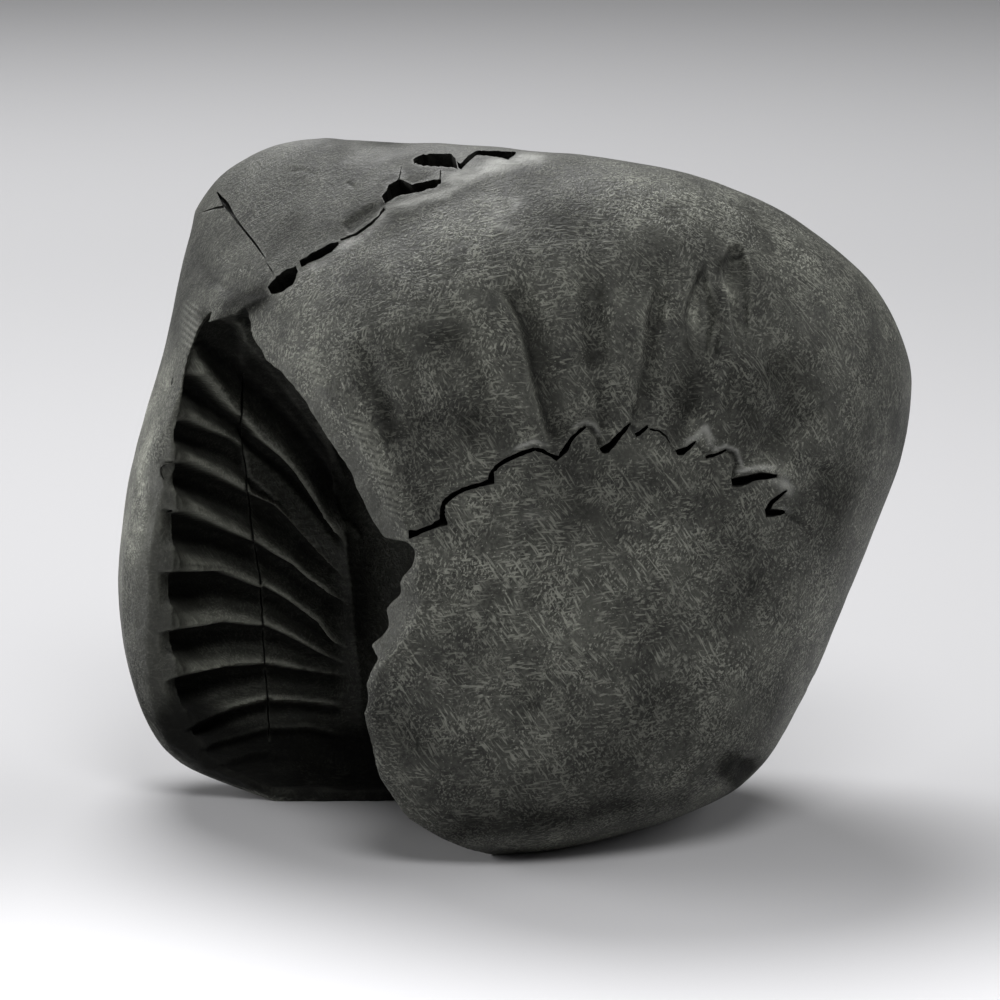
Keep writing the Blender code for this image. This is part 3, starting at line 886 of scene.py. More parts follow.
@dataclass(frozen=True)
class Gap:
    """An open crack: its two lips as seen from the front, matched point by point from end to end."""

    name: str
    upper: Pairs
    lower: Pairs
    depth: float
    into: Into = Into.FACE
    taper: float = 0.35
    flare: float = 2.5
    lip: float = 0.1
    unevenness: float = 0.12
    steps: int = 4
    roughness: float = 0.05
    seed: int = 3

    def cutter(self, lump: Lump) -> Piece:
        """Rings across the gap: it is open outside the face and narrows to its bottom.

        Args:
            lump: the lump that the lips lie on.

        Returns:
            The cutter.
        """
        chance = np.random.default_rng(self.seed)
        upper, lower = in_steps(self.upper, self.steps), in_steps(self.lower, self.steps)
        count = len(upper)
        upper = upper + chance.uniform(-self.roughness, self.roughness, (count, 2))
        lower = lower + chance.uniform(-self.roughness, self.roughness, (count, 2))
        top, bottom = lump.on_face(upper), lump.on_face(lower)
        centre = (top + bottom) / 2
        into = np.array(self.into.value) / np.linalg.norm(self.into.value)
        uneven = 1 + chance.uniform(-self.unevenness, self.unevenness, count)
        deep = centre + into * (self.depth * uneven)[:, None]
        rings = np.stack(
            [
                top - self.flare * into,
                bottom - self.flare * into,
                bottom + self.lip * into,
                deep + self.taper * (bottom - centre),
                deep + self.taper * (top - centre),
                top + self.lip * into,
            ],
            axis=1,
        )
        return loft(f"{self.name}_cutter", rings)


@dataclass(frozen=True)
class Crack:
    """A narrow crack: its path as seen from the front, with its width at each corner of the path."""

    name: str
    path: Pairs
    widths: tuple[float, ...]
    depth: float
    into: Into = Into.FACE
    seed: int = 13

    def gap(self) -> Gap:
        """The same crack by its two lips, half the width to either side of the path.

        Returns:
            The crack as a gap.
        """
        path, width = np.array(self.path), np.array(self.widths)[:, None]
        way = np.gradient(path, axis=0)
        way /= np.linalg.norm(way, axis=1, keepdims=True)
        aside = np.stack([-way[:, 1], way[:, 0]], axis=-1) * width / 2
        aside *= np.where(aside.sum() < 0, -1.0, 1.0)
        upper, lower = path + aside, path - aside
        return Gap(
            self.name, tuple(map(tuple, upper)), tuple(map(tuple, lower)), self.depth, self.into,
            roughness=0.02, seed=self.seed, taper=0.9, steps=3,
        )


SEAM_GAPS: tuple[Gap, ...] = (
    Gap(
        "seam",
        along(-11.4, -3.2, -10.6, -3.2, -9.1, -2.7, -8.1, -2, -8.1, -1.3, -7.9, -0.2, -7, 0.7, -5.6, 1.4,
            -3.8, 1.9, -2.9, 2.2, -2.7, 3, -2, 3.9, -0.9, 4.6, 0.5, 5.2, 2, 5.7, 3, 5.5, 3.9, 5, 4.7, 4.8,
            5.2, 5.7, 6.1, 6.9, 7, 7.7, 7.6, 8),
        along(-11.4, -4.2, -10.8, -4, -9.5, -3.4, -8.1, -2.9, -7.2, -2.7, -7.5, -1.6, -7.5, -0.6, -6.7,
            0.2, -5.4, 0.9, -3.8, 1.4, -2.2, 1.7, -2.2, 3, -1.5, 3.7, -0.5, 4.2, 0.9, 4.8, 2.2, 5.3, 3, 5,
            3.9, 4.6, 4.5, 4.1, 5.6, 5.1, 6.4, 6.6, 7.7, 7.8),
        4.0,
    ),
    Gap("notch_1", along(9.1, 5.6, 10.2, 6.3, 11.1, 7.2, 12.4, 8.4),
        along(9.4, 5, 10.1, 5, 11.3, 6.5, 12.5, 8.2), 3.5),
    Gap("notch_2", along(12.9, 7.2, 13.4, 7.5, 14.3, 8.1), along(13.1, 6.7, 13.6, 7, 14.4, 7.8), 1.8),
    Gap("notch_3", along(17.3, 5.4, 18.5, 5.8, 19.5, 6.4), along(17.5, 4.8, 18.2, 4.8, 19.5, 6.1), 2.5),
    Gap("notch_4", along(20.5, 4.8, 21.7, 5.1, 22.8, 5.5), along(20.6, 4.4, 21.7, 4.7, 22.8, 5.25), 1.8),
    Gap("notch_5", along(23.3, 2.4, 25.3, 2.8, 26.7, 3, 28.2, 2.75),
        along(23.4, 1.4, 24.4, 1.4, 25.7, 2, 28.2, 2.45), 3.0),
    Gap("notch_6", along(26.9, -1, 27.5, 0, 29.2, 1.1), along(27.4, -1.5, 27.8, -0.5, 29.3, 0.95), 2.5,
        roughness=0.02),
)
CAP_GAPS: tuple[Gap, ...] = (
    Gap("notch_6_foot", along(26.9, -0.9, 28, -0.9, 29.1, -1.15), along(27, -1.9, 28, -1.8, 29.2, -1.5),
        2.2),
    Gap("arch", along(14.5, 7.75, 15.6, 7.55, 16.4, 6.9, 16.8, 6.2),
        along(14.5, 7.5, 15.5, 7.3, 16.2, 6.7, 16.6, 6.1), 0.5),
    Gap(
        "cap_pocket",
        along(-26.7, 23, -25.6, 24.1, -24.5, 24.9, -23.6, 25.2),
        along(-26.2, 22.2, -25.1, 22.4, -23.9, 23.2, -23.3, 24.6),
        3.5, Into.CAP, seed=5,
    ),
    Gap(
        "cap_slit",
        along(-23.2, 25.8, -22.4, 26.2, -21.2, 26.9, -19.9, 27.6, -19, 27.8),
        along(-23, 25.1, -22.1, 25.5, -20.5, 26.2, -19.5, 26.9, -18.9, 27.6),
        4.0, Into.CAP, seed=6,
    ),
    Gap(
        "cap_hole",
        along(-14.3, 32.6, -13.5, 34, -12.5, 34.6, -11, 34.05, -9.5, 34.4, -8, 34.65),
        along(-14, 31.9, -12.9, 32.6, -11.7, 33, -9.8, 33.35, -8.5, 33.7, -7.9, 34.2),
        5.0, Into.TOP, roughness=0.09, seed=8,
    ),
    Gap(
        "top_hole",
        along(-11, 36.7, -9.8, 37.3, -8.5, 37.35, -6.9, 37.3, -6.4, 36.8),
        along(-10.8, 36.3, -9.9, 36.05, -8.2, 35.95, -7, 35.9, -6.2, 35.7),
        3.5, Into.TOP, roughness=0.08, seed=9,
    ),
    Crack(
        "cap_crack",
        along(-32.1, 33.2, -31.6, 32.5, -31.1, 31.8, -30.3, 30.6, -29.6, 29.6, -28.1, 27.8, -26.9, 26.1),
        (0.15, 0.4, 0.7, 0.3, 0.24, 0.24, 0.1), 2.0,
    ).gap(),
)
THIN_GAPS: tuple[Gap, ...] = (
    Gap(
        "top_zigzag",
        along(-6.3, 36.6, -5.9, 36.2, -5, 37.1, -4.1, 37.65, -3.4, 37.65, -1.8, 37.6, -0.4, 37.55, 0.1,
            37.5),
        along(-6.1, 35.8, -5.8, 35.6, -4.8, 36.6, -4.1, 37.2, -3.1, 37.1, -1.6, 36.9, -0.7, 36.6, 0.1, 37.3),
        2.5, Into.TOP, roughness=0.04, seed=10,
    ),
    Gap("cap_line", along(-18.8, 28.1, -17.1, 28.75, -15.5, 29.9, -14.1, 31.5),
        along(-18.7, 27.9, -17, 28.5, -15.4, 29.6, -13.9, 31.25), 3.0, Into.TOP, roughness=0.03, seed=11),
    Crack("crack_branch", along(-31.2, 31.6, -32.4, 31.4, -33.6, 31), (0.32, 0.2, 0.06), 0.8).gap(),
    Crack("crack_tail", along(-26.7, 25.5, -26.3, 24.9, -25.9, 24.2), (0.06, 0.14, 0.05), 0.6).gap(),
    Crack("hole_line", along(-8, 35.6, -8, 35.2, -8.05, 34.5), (0.06, 0.14, 0.16), 0.6).gap(),
    Crack("block_line", along(-12.2, 35.9, -12.3, 35.3, -12.5, 34.4), (0.06, 0.12, 0.16), 0.6).gap(),
)


# --- relief


class Side(Enum):
    """Which part of the stone a mark lies on."""

    SKIN = "the river-worn outer surface"
    HOLLOW = "inside the mould"
    BREAK = "the broken faces round the hollow"
    INNER = "everything that is broken or moulded"
    ALL = "the whole front"


@dataclass(frozen=True)
class Mark:
    """A valley, crease or raised line, drawn as it is seen from the front and from its top to its foot.

    Its height is a bell of the distance to its path, -depth * exp(-(d / width)^sharpness), fading towards
    both ends. A negative depth raises it. Of two widths the first is for its left side and the second for its
    right, and of two fades the first is for its top and the second for its foot.
    """

    path: Pairs
    widths: float | tuple[float, float]
    depth: float
    sharpness: float = 2.0
    fade: float | tuple[float, float] = 0.25
    side: Side = Side.SKIN

    def height(self, u: Array, v: Array) -> Array:
        """Height added at seen places, in mm.

        Args:
            u: seen places across.
            v: seen places up.

        Returns:
            The height in mm.
        """
        trail = Trail(np.array(self.path, float))
        left, right = np.broadcast_to(self.widths, 2)
        top, foot = np.broadcast_to(self.fade, 2)
        near = trail.near(u, v, 3.0 * max(left, right))
        result = np.zeros(len(u))
        if len(near):
            aside, share = trail.beside(u[near], v[near])
            bell = np.exp(-((np.abs(aside) / np.where(aside > 0, left, right)) ** self.sharpness))
            ends = smooth_step(share, -0.02, top) * smooth_step(1 - share, -0.02, foot)
            result[near] = -self.depth * bell * ends
        return result


@dataclass(frozen=True)
class Scoop:
    """A hollowed almond: at each corner of its path it has a reach to the left, one to the right and a depth.

    Its height is -depth * (1 - (d / reach)^3) inside its outline, which leaves a sharp rim.
    """

    path: Pairs
    left: tuple[float, ...]
    right: tuple[float, ...]
    depths: tuple[float, ...]
    lip: float = 0.07

    def height(self, u: Array, v: Array) -> Array:
        """Height added at seen places, in mm.

        Args:
            u: seen places across.
            v: seen places up.

        Returns:
            The height in mm.
        """
        trail = Trail(np.array(self.path, float))
        near = trail.near(u, v, max(self.left + self.right) + 1.0)
        result = np.zeros(len(u))
        if len(near):
            aside, share = trail.beside(u[near], v[near])
            knots = np.linspace(0, 1, 101)
            lengths = np.linalg.norm(np.diff(trail.corners, axis=0), axis=1)
            run = np.concatenate([[0.0], np.cumsum(lengths)]) / lengths.sum()
            curves = [np.interp(share, knots, open_curve(knots, run, np.array(row))) for row in
                      (self.left, self.right, self.depths)]
            q = np.abs(aside) / np.maximum(np.where(aside > 0, curves[0], curves[1]), 0.05)
            inside = (1 - np.clip(q, 0, 1) ** 3) * curves[2]
            rim = self.lip * np.exp(-(((q - 1.05) / 0.25) ** 2)) * smooth_step(curves[2], 0.1, 0.6)
            result[near] = rim - inside
        return result


MARKS: tuple[Mark, ...] = (
    # The outer whorl's rib valleys, from left to right: steep on their left and easy on their right.
    Mark(along(-16.9, 18, -16, 14.5, -14.6, 10.5, -12.9, 4.8), (0.9, 1.9), 0.75),
    Mark(along(-13.4, 19, -11.9, 14.5, -9.9, 8.5), (1.1, 1.8), 0.5),
    Mark(along(-8.5, 20, -5.6, 16.5, -4.2, 13, -3.4, 6.5), (1.1, 1.8), 0.65),
    Mark(along(-1.6, 23.2, -0.4, 22.2, 0.9, 19.9, 1.7, 16.7, 2.5, 12.9, 3.4, 9.5, 4.6, 6), (0.6, 1.8), 1.15,
         fade=(0.12, 0.1)),
    Mark(along(7.9, 25.4, 8.3, 20, 8.5, 16.7, 8.7, 12.4), (1.2, 1.5), 0.95, 2.4),
    Mark(along(8.8, 14, 9.1, 11, 9.5, 7.6), (0.5, 0.8), 0.5, fade=(0.3, 0.05)),
    Mark(along(16.1, 25, 14.9, 20.1, 14.4, 14.3, 13.6, 10.5, 12.6, 8.2), (0.7, 1.3), 0.85, fade=(0.2, 0.1)),
    Mark(along(15.9, 23.4, 15.6, 21.5, 15, 18.6), (0.7, 0.9), 0.30),
    # Below the left scoop, and the flatter patch beside it.
    Mark(along(20.4, 15.6, 19.2, 11.9, 18.5, 6.6), (1.5, 1.9), 0.8, fade=0.45),
    Mark(along(19.6, 12, 18.6, 8.6, 17.4, 5.6), (0.5, 0.9), 0.3, fade=(0.4, 0.3)),
    Mark(along(16.9, 13.4, 15.8, 7.7), (1.3, 1.5), 0.3, fade=0.5),
    Mark(along(23.8, 16, 23.1, 12, 22.6, 7.6), (0.8, 1.4), 0.6, fade=(0.45, 0.4)),
    # The broad valley at the right, and two creases beyond it.
    Mark(along(27, 17.6, 29.2, 13, 29.8, 9.6, 27.8, 6.6, 25.6, 4.4), (1.6, 2.3), 1.0),
    Mark(along(38.8, 13.8, 34.8, 11.1, 29.4, 7.5, 25.4, 4), (0.5, 0.9), 0.38, 1.7),
    Mark(along(34.2, 2.9, 31, 3.6), (0.4, 0.6), 0.28, 1.7),
    Mark(along(33.2, 21.5, 31.8, 17, 32.2, 12.5), (1.4, 1.8), 0.22),
    # The seam between its slits, with fine raised lips above it.
    Mark(along(7.4, 8, 8.3, 7.8, 9, 7, 9.2, 5.4), 0.25, 0.42, fade=0.05),
    Mark(along(12.3, 8.3, 12.7, 7.7, 13.1, 6.8), 0.22, 0.36, fade=0.05),
    Mark(along(16.5, 6.3, 17.3, 5), 0.25, 0.42, fade=0.05),
    Mark(along(19.4, 6.3, 20, 5.6, 20.6, 4.7), 0.25, 0.42, fade=0.05),
    Mark(along(22.7, 5.4, 23.7, 5, 24.1, 3.9, 23.6, 2), 0.28, 0.5, fade=0.05),
    Mark(along(28, 2.6, 29.6, 1.9, 30.5, 2.2), 0.25, 0.3, fade=(0.05, 0.3)),
    Mark(along(29, -1.2, 30.6, -2.4, 31.6, -3.6), (0.3, 0.4), 0.3, fade=(0.05, 0.4)),
    Mark(along(-9.1, -2.1, -8.8, -1, -8.5, 0.1, -7.4, 1.2, -5.8, 1.9, -3.9, 2.4, -3.3, 3.3), 0.3, -0.22),
    Mark(along(-1.2, 4.9, 0.6, 5.7, 2.1, 6.2, 3.4, 5.8, 4.5, 5.2), 0.3, -0.26),
    Mark(along(5, 6.2, 6, 7.4, 7.4, 8.4, 8.7, 8.1, 9.3, 6.8), 0.3, -0.28),
    Mark(along(9.6, 6.6, 10.9, 7.7, 12.2, 8.9, 13.2, 8.2), 0.3, -0.22),
    Mark(along(12.6, 8.4, 13.5, 8.1, 15.2, 8.1, 16.4, 7.5, 16.9, 6.6), 0.28, -0.24),
    Mark(along(17.6, 5.9, 18.9, 6.5, 20.4, 7.7, 20.7, 6.2), 0.4, -0.34),
    Mark(along(21.6, 5.6, 22.8, 5.9, 23.9, 5.4, 24.5, 4.2), 0.28, -0.26),
    Mark(along(24, 3.2, 26.2, 3.5, 28.8, 3.7), 0.35, -0.34),
    Mark(along(28.6, 2.2, 29.2, 0.9, 29.3, -0.2), (0.6, 0.5), -0.32),
    # The cap: the soft crease above its lip and a few fine lines.
    Mark(along(-33.9, 27, -33.3, 25.2, -32.5, 23.9, -30.9, 22.8, -29.1, 22.4, -27.4, 22.6, -25.9, 23.2),
         0.75, 0.25, fade=0.15),
    Mark(along(-24.8, 35.3, -22.9, 35.5, -21.1, 35), 0.2, 0.12, 1.6),
    Mark(along(-18.2, 34.2, -17.7, 34, -17.2, 33.6), 0.2, 0.18, 1.6),
    Mark(along(-18.2, 29, -16.5, 30.3, -14.7, 31.3), (0.55, 0.75), 0.4, 4.0, (0.1, 0.05)),
    # Chips: one at the foot on the right, one on the right side, and small ones on the disc.
    Mark(along(24.6, -27.6, 25.6, -29.6, 26.2, -31.6), 1.3, 0.7, 3.0),
    Mark(along(31.6, -19, 32.2, -20.2), 0.9, 0.5, 3.0),
    Mark(along(1.6, -22, 2, -22.3), 0.45, 0.35, 2.0, 0.0),
    # Inside the mould: low grey flakes on its shoulder, and the ledge at its top.
    Mark(along(-21.5, 9.2, -20.6, 7.6, -19.5, 6.2), 0.5, -0.5, side=Side.HOLLOW),
    Mark(along(-23.6, 6.6, -22.6, 5.9, -21.8, 5.2), 0.4, -0.4, side=Side.HOLLOW),
    Mark(along(-22.4, 3.6, -21.2, 1.4, -19.9, -0.9), 0.5, -0.5, side=Side.HOLLOW),
    Mark(along(-18.6, -2, -17.6, -3.2, -16.6, -4.3), 0.5, -0.5, side=Side.HOLLOW),
    Mark(along(-27.6, 19.6, -27.2, 18.6, -26.7, 17.9), 0.35, 0.7, side=Side.BREAK),
    Mark(along(-27.6, 16.9, -25.9, 15.5, -24.2, 14.4), 0.35, 0.35, side=Side.BREAK),
    Mark(along(-24.6, 17, -22.4, 13.4, -19.6, 8.6), 0.5, 0.18, side=Side.BREAK),
)
SCOOPS: tuple[Scoop, ...] = (
    Scoop(along(20.4, 25.4, 20.1, 23, 20, 20.5, 19.9, 17.5, 20, 14.6), (0.15, 1.0, 1.8, 1.5, 0.8),
          (0.2, 0.9, 1.85, 1.4, 0.8), (0.2, 0.8, 1.0, 0.8, 0.1)),
    Scoop(along(23.7, 26.6, 23.6, 25, 23.9, 22.5, 24.3, 19.5, 24.3, 15.6), (1.0, 1.4, 1.0, 1.0, 0.6),
          (1.1, 1.7, 1.5, 1.0, 0.7), (0.9, 1.2, 1.0, 0.6, 0.1)),
)


STAINS_AND_PAINTED_LIGHT: tuple[Mark, ...] = (
    # Darker places on the outer whorl and the disc, in powers of two: a painted shadow beside the bevel's
    # brow, painted shade in the mouths of the gaps and at the top of the mouth's edge, in valleys, below the
    # scoops, in the chip at the foot and along the foot, and other darker patches.
    Mark(along(-19.4, 16.7, -15.9, 10.2, -13.3, 5, -10.9, 0, -9.8, -2.6), (0.35, 3.6), 1.15, 3.0,
         (0.3, 0.0)),
    Mark(along(-24.4, 24.9, -22.3, 25.9), 0.3, 3.0, 2.0, 0.0),
    Mark(along(-19.4, 27.4, -18.3, 28.1), 0.25, 3.0, 2.0, 0.0),
    Mark(along(-14.8, 30.6, -13.7, 32.2), 0.25, 3.0, 2.0, 0.0),
    Mark(along(-6.9, 36, -5.7, 36), 0.35, 3.0, 2.0, 0.0),
    Mark(along(-29.05, 20.6, -28.9, 18.6), 0.28, 3.0, 2.0, (0.0, 0.4), Side.ALL),
    Mark(along(-9.5, 8.3, -7.5, 8, -3.2, 7.4), 2.8, 1.25, 2.5, 0.0),
    Mark(along(-20.5, 12.5, -17.2, 6.5, -14.5, 1.5, -12.9, -2.2), 1.4, 0.3, 3.0, (0.1, 0.0)),
    Mark(along(-12, 15.5, -6.5, 18), 2.6, 0.7, fade=0.0),
    Mark(along(7, -1.5, 11, -3), 2.4, 0.6, fade=0.0),
    Mark(along(6.5, -24, 10, -27.5), 2.6, 0.5, fade=0.0),
    Mark(along(22, -12.5, 26, -9.5), 2.6, 0.5, fade=0.0),
    Mark(along(-12.5, -24.5, -8.5, -27), 2.4, 0.5, fade=0.0),
    Mark(along(6, 12, 9.5, 10.5), 2.4, 0.5, fade=0.0),
    Mark(along(14.5, 1, 24, -3.5), 3.2, 0.5, fade=0.0),
    Mark(along(24, -14, 19, -22), 3.5, 0.4, fade=0.0),
    Mark(along(-8.1, 17.2, -7, 12.9), 1.5, 0.4, fade=0.0),
    Mark(along(-0.6, 21.5, 1.3, 17.5, 3, 11), (0.7, 1.2), 0.4),
    Mark(along(18.8, 14, 16.9, 7.5), 1.6, 0.9, fade=0.0),
    Mark(along(26.9, 13.5, 25.3, 7.5), 1.8, 0.9, fade=0.0),
    Mark(along(31.2, 3.8, 34.4, 0), 2.3, 0.6, fade=0.0),
    Mark(along(7.5, 4.6, 11.8, 1.4), 2.6, 0.5, fade=0.0),
    Mark(along(24.7, -4.3, 23.7, -9.7), 2.6, 0.5, fade=0.0),
    Mark(along(13.5, -22.6, 10.8, -31.2), 3.0, 0.6, fade=0.0),
    Mark(along(23.4, -28.8, 26.6, -31.4), 1.6, 2.0, 4.0, 0.0),
    Mark(along(-9.1, -35.6, 4.8, -34.3, 21, -31.6), 1.3, 1.0, fade=0.1),
    # Paler places: inside the scoops, partly their polished stone and partly a painted highlight, with
    # painted shade along the scoops' steep rims; on the seam's lips; a painted highlight along the right
    # edge; and where the disc is rubbed.
    Mark(along(16, 23.5, 16.2, 20), 0.8, -0.6, 3.0, 0.0),
    Mark(along(20.3, 24, 19.9, 17), 1.3, -0.6, 3.0, 0.1),
    Mark(along(19.5, 21.6, 19.3, 19.2), 0.9, -1.0, 2.0, 0.0),
    Mark(along(22.5, 25.1, 22.9, 23.1, 24.2, 21.2), (0.6, 0.7), -1.6, 2.0, 0.1),
    Mark(along(23.8, 25, 24.3, 18), 1.0, -0.6, 3.0, (0.1, 0.2)),
    Mark(along(20.2, 25.2, 18.8, 22, 18.2, 19.4, 18.6, 16.6, 19.4, 15.2), 0.3, 1.3, 2.0, 0.1),
    Mark(along(22, 23.8, 22.1, 25.4, 23, 26.5, 25, 26.5), 0.33, 1.3, 2.0, 0.1),
    Mark(along(21.7, 23.4, 22.2, 18.6, 21.6, 15.2), 0.5, 0.9, 2.0, 0.1),
    Mark(along(16.9, 23.2, 15.2, 18.4, 14.6, 13.6), 0.35, 0.7, 2.0, 0.2),
    Mark(along(1.1, 6.2, 3.2, 6.6), 1.0, -0.6, fade=0.0),
    Mark(along(19.7, 8.1, 20.1, 6.3), 1.0, -0.8, fade=0.0),
    Mark(along(25.6, 3.6, 29.4, 3.2), (1.2, 1.0), -0.9, fade=0.0),
    Mark(along(-9.1, -2.6, -7.5, -8), 3.2, -0.4, fade=0.0),
    Mark(along(-7.5, 0, -5.7, 0), 1.5, -0.45, fade=0.0),
    Mark(along(-5.4, 21.8, -3.2, 18.6), 1.8, -0.4, fade=0.0),
    Mark(along(39.8, 6.5, 36, -4.3), 1.3, -0.5, fade=0.1),
    Mark(along(0.5, -10.8, 7, -16.1), 6.0, -0.25, fade=0.0),
    Mark(along(0.5, -30.1, 5.9, -31.7), 2.6, -0.35, fade=0.0),
    # The hollow: painted shade under the cap's lip, the front mass's painted shadow across the hollow,
    # painted shade in its pocket and at its foot, the cap a little darker, and the paler bevel beside it.
    Mark(along(-33.8, 21.6, -29.6, 21, -25.6, 21.4), 1.3, 1.5, 3.0, 0.05, Side.INNER),
    Mark(along(-34.6, 19.9, -31.3, 20.6, -28.8, 21.3, -26.6, 22.1), 1.0, 1.3, 2.5, (0.1, 0.05), Side.ALL),
    Mark(along(-34.1, 26.7, -33, 23.9, -31.3, 22.4, -28.8, 22.1, -26.9, 22.5), 0.6, 0.7, 2.0, (0.3, 0.1)),
    Mark(along(-33, 24.5, -21, 31, -10, 37), 6.5, 0.5, 4.0, 0.0),
    Mark(along(-24, 20.6, -13, 23.5), 3.0, 0.5, 2.0, (0.0, 0.2)),
    Mark(along(-28.2, 16, -25, 10.4, -20.4, 3.4, -18.6, -2.2), (1.9, 2.2), 1.6, 2.5, 0.1, Side.HOLLOW),
    Mark(along(-14, -6.5, -16.5, -15.1), 2.5, 1.0, 3.0, (0.0, 0.1), Side.HOLLOW),
    Mark(along(-35.5, -24.5, -30.7, -27.6, -14.6, -27.8), 3.2, 3.0, 4.0, 0.0, Side.INNER),
    Mark(along(-33.5, -30.4, -12, -32), 1.6, 2.5, 3.0, 0.0, Side.INNER),
    Mark(along(-23.6, 18.3, -19.2, 9.7, -14.2, -1.1), (1.9, 1.6), 0.1, 4.0, (0.1, 0.05), Side.BREAK),
    # The lobe: a painted highlight along its outer face and painted shade towards its foot.
    Mark(along(-37.8, 19, -40.6, 8, -41.8, -6.5, -41, -14), (2.8, 2.4), -1.5, 3.0, (0.2, 0.4), Side.ALL),
    Mark(along(-39, -20, -34.5, -29.1), 3.0, 0.6, 2.0, (0.2, 0.0), Side.ALL),
)


@dataclass(frozen=True)
class Relief:
    """Everything that is modelled on the stone's surface after its big forms have been cut."""

    marks: tuple[Mark, ...] = MARKS
    stains_and_painted_light: tuple[Mark, ...] = STAINS_AND_PAINTED_LIGHT
    scoops: tuple[Scoop, ...] = SCOOPS
    ribs: Ribs = Ribs()
    seam_path: Pairs = along(-12, -3.9, -9.3, -3, -7.7, -2.3, -7.6, -0.5, -5.5, 1.1, -2.8, 1.9, -2.4, 3.2,
        0.5, 5, 2.1, 5.5, 4.6, 4.4, 7.6, 7.9, 9.3, 5.4, 12.3, 8.2, 13.1, 7, 15.2, 7.7, 17.4, 5.1, 19.4,
        6.2, 20.7, 4.7, 23.2, 5.2, 23.6, 1.9, 27, 2.5, 27.2, -1.3, 31.4, -3.4)
    hood_fall: float = 0.30
    hood_fall_reach: float = 2.4
    dimple: float = 0.09
    dimple_size: float = 5.0
    broken: float = 0.13
    broken_size: float = 1.6
    striation: float = 0.05
    # Painted light, in powers of two: a highlight on rib crests, shade over the hollow wall and in the rib
    # grooves, and shade in the whorl's valleys that is partly their duller stone.
    crest_highlight: float = 1.7
    hollow_wall_shade: float = 0.35
    groove_shade: float = 1.0
    valley_shade_and_dullness: float = 0.7
    mottle: float = 0.7
    mottle_inside: float = 0.35
    mottle_size: float = 9.0
    patchiness: float = 0.4
    patch_size: float = 1.8
    rib_grain: float = 0.10
    rib_grain_size: float = 2.4
    stripe_turn: float = 7.5
    stripe_bend: float = 2.2

    def seam_fall(self, u: Array, v: Array) -> Array:
        """The outer whorl sinks a little just above the seam: -fall * exp(-height above it / reach).

        Args:
            u: seen places across.
            v: seen places up.

        Returns:
            The height in mm, 0 or less.
        """
        path = np.array(self.seam_path)
        level = np.interp(u, np.maximum.accumulate(path[:, 0] + 1e-4 * np.arange(len(path))), path[:, 1])
        above = np.maximum(v - level, 0.0)
        across = smooth_step(u, path[0, 0], path[0, 0] + 2.0) * (1 - smooth_step(u, 28.0, 33.0))
        return -self.hood_fall * smooth_step(above, 0.0, 0.5) * np.exp(-above / self.hood_fall_reach) * across

    def carve(
        self, points: Array, facing: Array, below: Array, hollow: Array, groove: Array
    ) -> tuple[Array, Array]:
        """The relief and the stone's brightness at each point: its own darker and paler places together with
        painted light and shade.

        Args:
            points: profile points.
            facing: how far each point's normal turns to the front, 1 for straight at it.
            below: how far inside the lump's own surface each point lies.
            hollow: how much each point belongs to the mould's wall, 0 to 1.
            groove: how much the grooves between the ribs reach each point, 0 to 1.

        Returns:
            The height in mm added along the normal, and the brightness in powers of two, painted shade and
            highlights included.
        """
        u, v = PROFILE.seen(points)
        skin = 1 - smooth_step(below, 0.35, 0.9)
        front = smooth_step(facing, 0.0, 0.25)
        broken = (1 - skin) * (1 - hollow) * front
        where = {
            Side.SKIN: skin * front, Side.HOLLOW: hollow, Side.BREAK: broken,
            Side.INNER: 1 - skin, Side.ALL: smooth_step(facing, -0.4, 0.0),
        }
        total = self.seam_fall(u, v) * skin * front
        for mark in self.marks:
            total += mark.height(u, v) * where[mark.side]
        # Painted shade in the relief's valleys, partly the duller stone that lies in them.
        tone_and_painted_light = -self.valley_shade_and_dullness * smooth_step(-total, 0.15, 0.95) * skin
        # Painted shadows, shade and highlights, with the stone's own darker and paler places, from the list
        # of stains and painted light.
        for stain_or_painted_light in self.stains_and_painted_light:
            tone_and_painted_light += stain_or_painted_light.height(u, v) * where[stain_or_painted_light.side]
        tone_and_painted_light *= 1 + self.patchiness * Grain(93).layered(points, self.patch_size, 2)
        rubbed = self.mottle_inside + (1 - self.mottle_inside) * skin
        tone_and_painted_light += self.mottle * Grain(91).layered(points, self.mottle_size, 4) * rubbed
        total += self.scooped(u, v) * skin * front
        chosen = np.nonzero(hollow + groove > 0.01)[0]
        ribs = self.ribs.height(u[chosen], v[chosen])
        ribs += self.rib_grain * Grain(63).layered(points[chosen], self.rib_grain_size, 2)
        # Painted light on the ribs: a painted highlight on each crest, painted shade over the rest of the
        # hollow wall and in the grooves between the ribs.
        crest = (smooth_step(ribs, 0.2, 1.2) * self.crest_highlight - self.hollow_wall_shade) * hollow[chosen]
        tone_and_painted_light[chosen] += crest - smooth_step(-ribs, 0.15, 0.9) * self.groove_shade * groove[chosen]
        bends = self.stripe_bend * Grain(61).at(points[chosen], 3.0)
        stripes = self.striation * np.sin(self.stripe_turn * v[chosen] + bends)
        raised = hollow[chosen] * (np.maximum(ribs, 0.0) + stripes)
        total[chosen] += raised + groove[chosen] * np.minimum(ribs, 0.0)
        total += self.dimple * Grain(31).layered(points, self.dimple_size, 2) * skin
        total += self.broken * Grain(51).layered(points, self.broken_size, 2) * (1 - skin) * (1 - hollow)
        return total, tone_and_painted_light

    def scooped(self, u: Array, v: Array) -> Array:
        """Height of the scoops at seen places."""
        return sum((scoop.height(u, v) for scoop in self.scoops), start=np.zeros(len(u)))

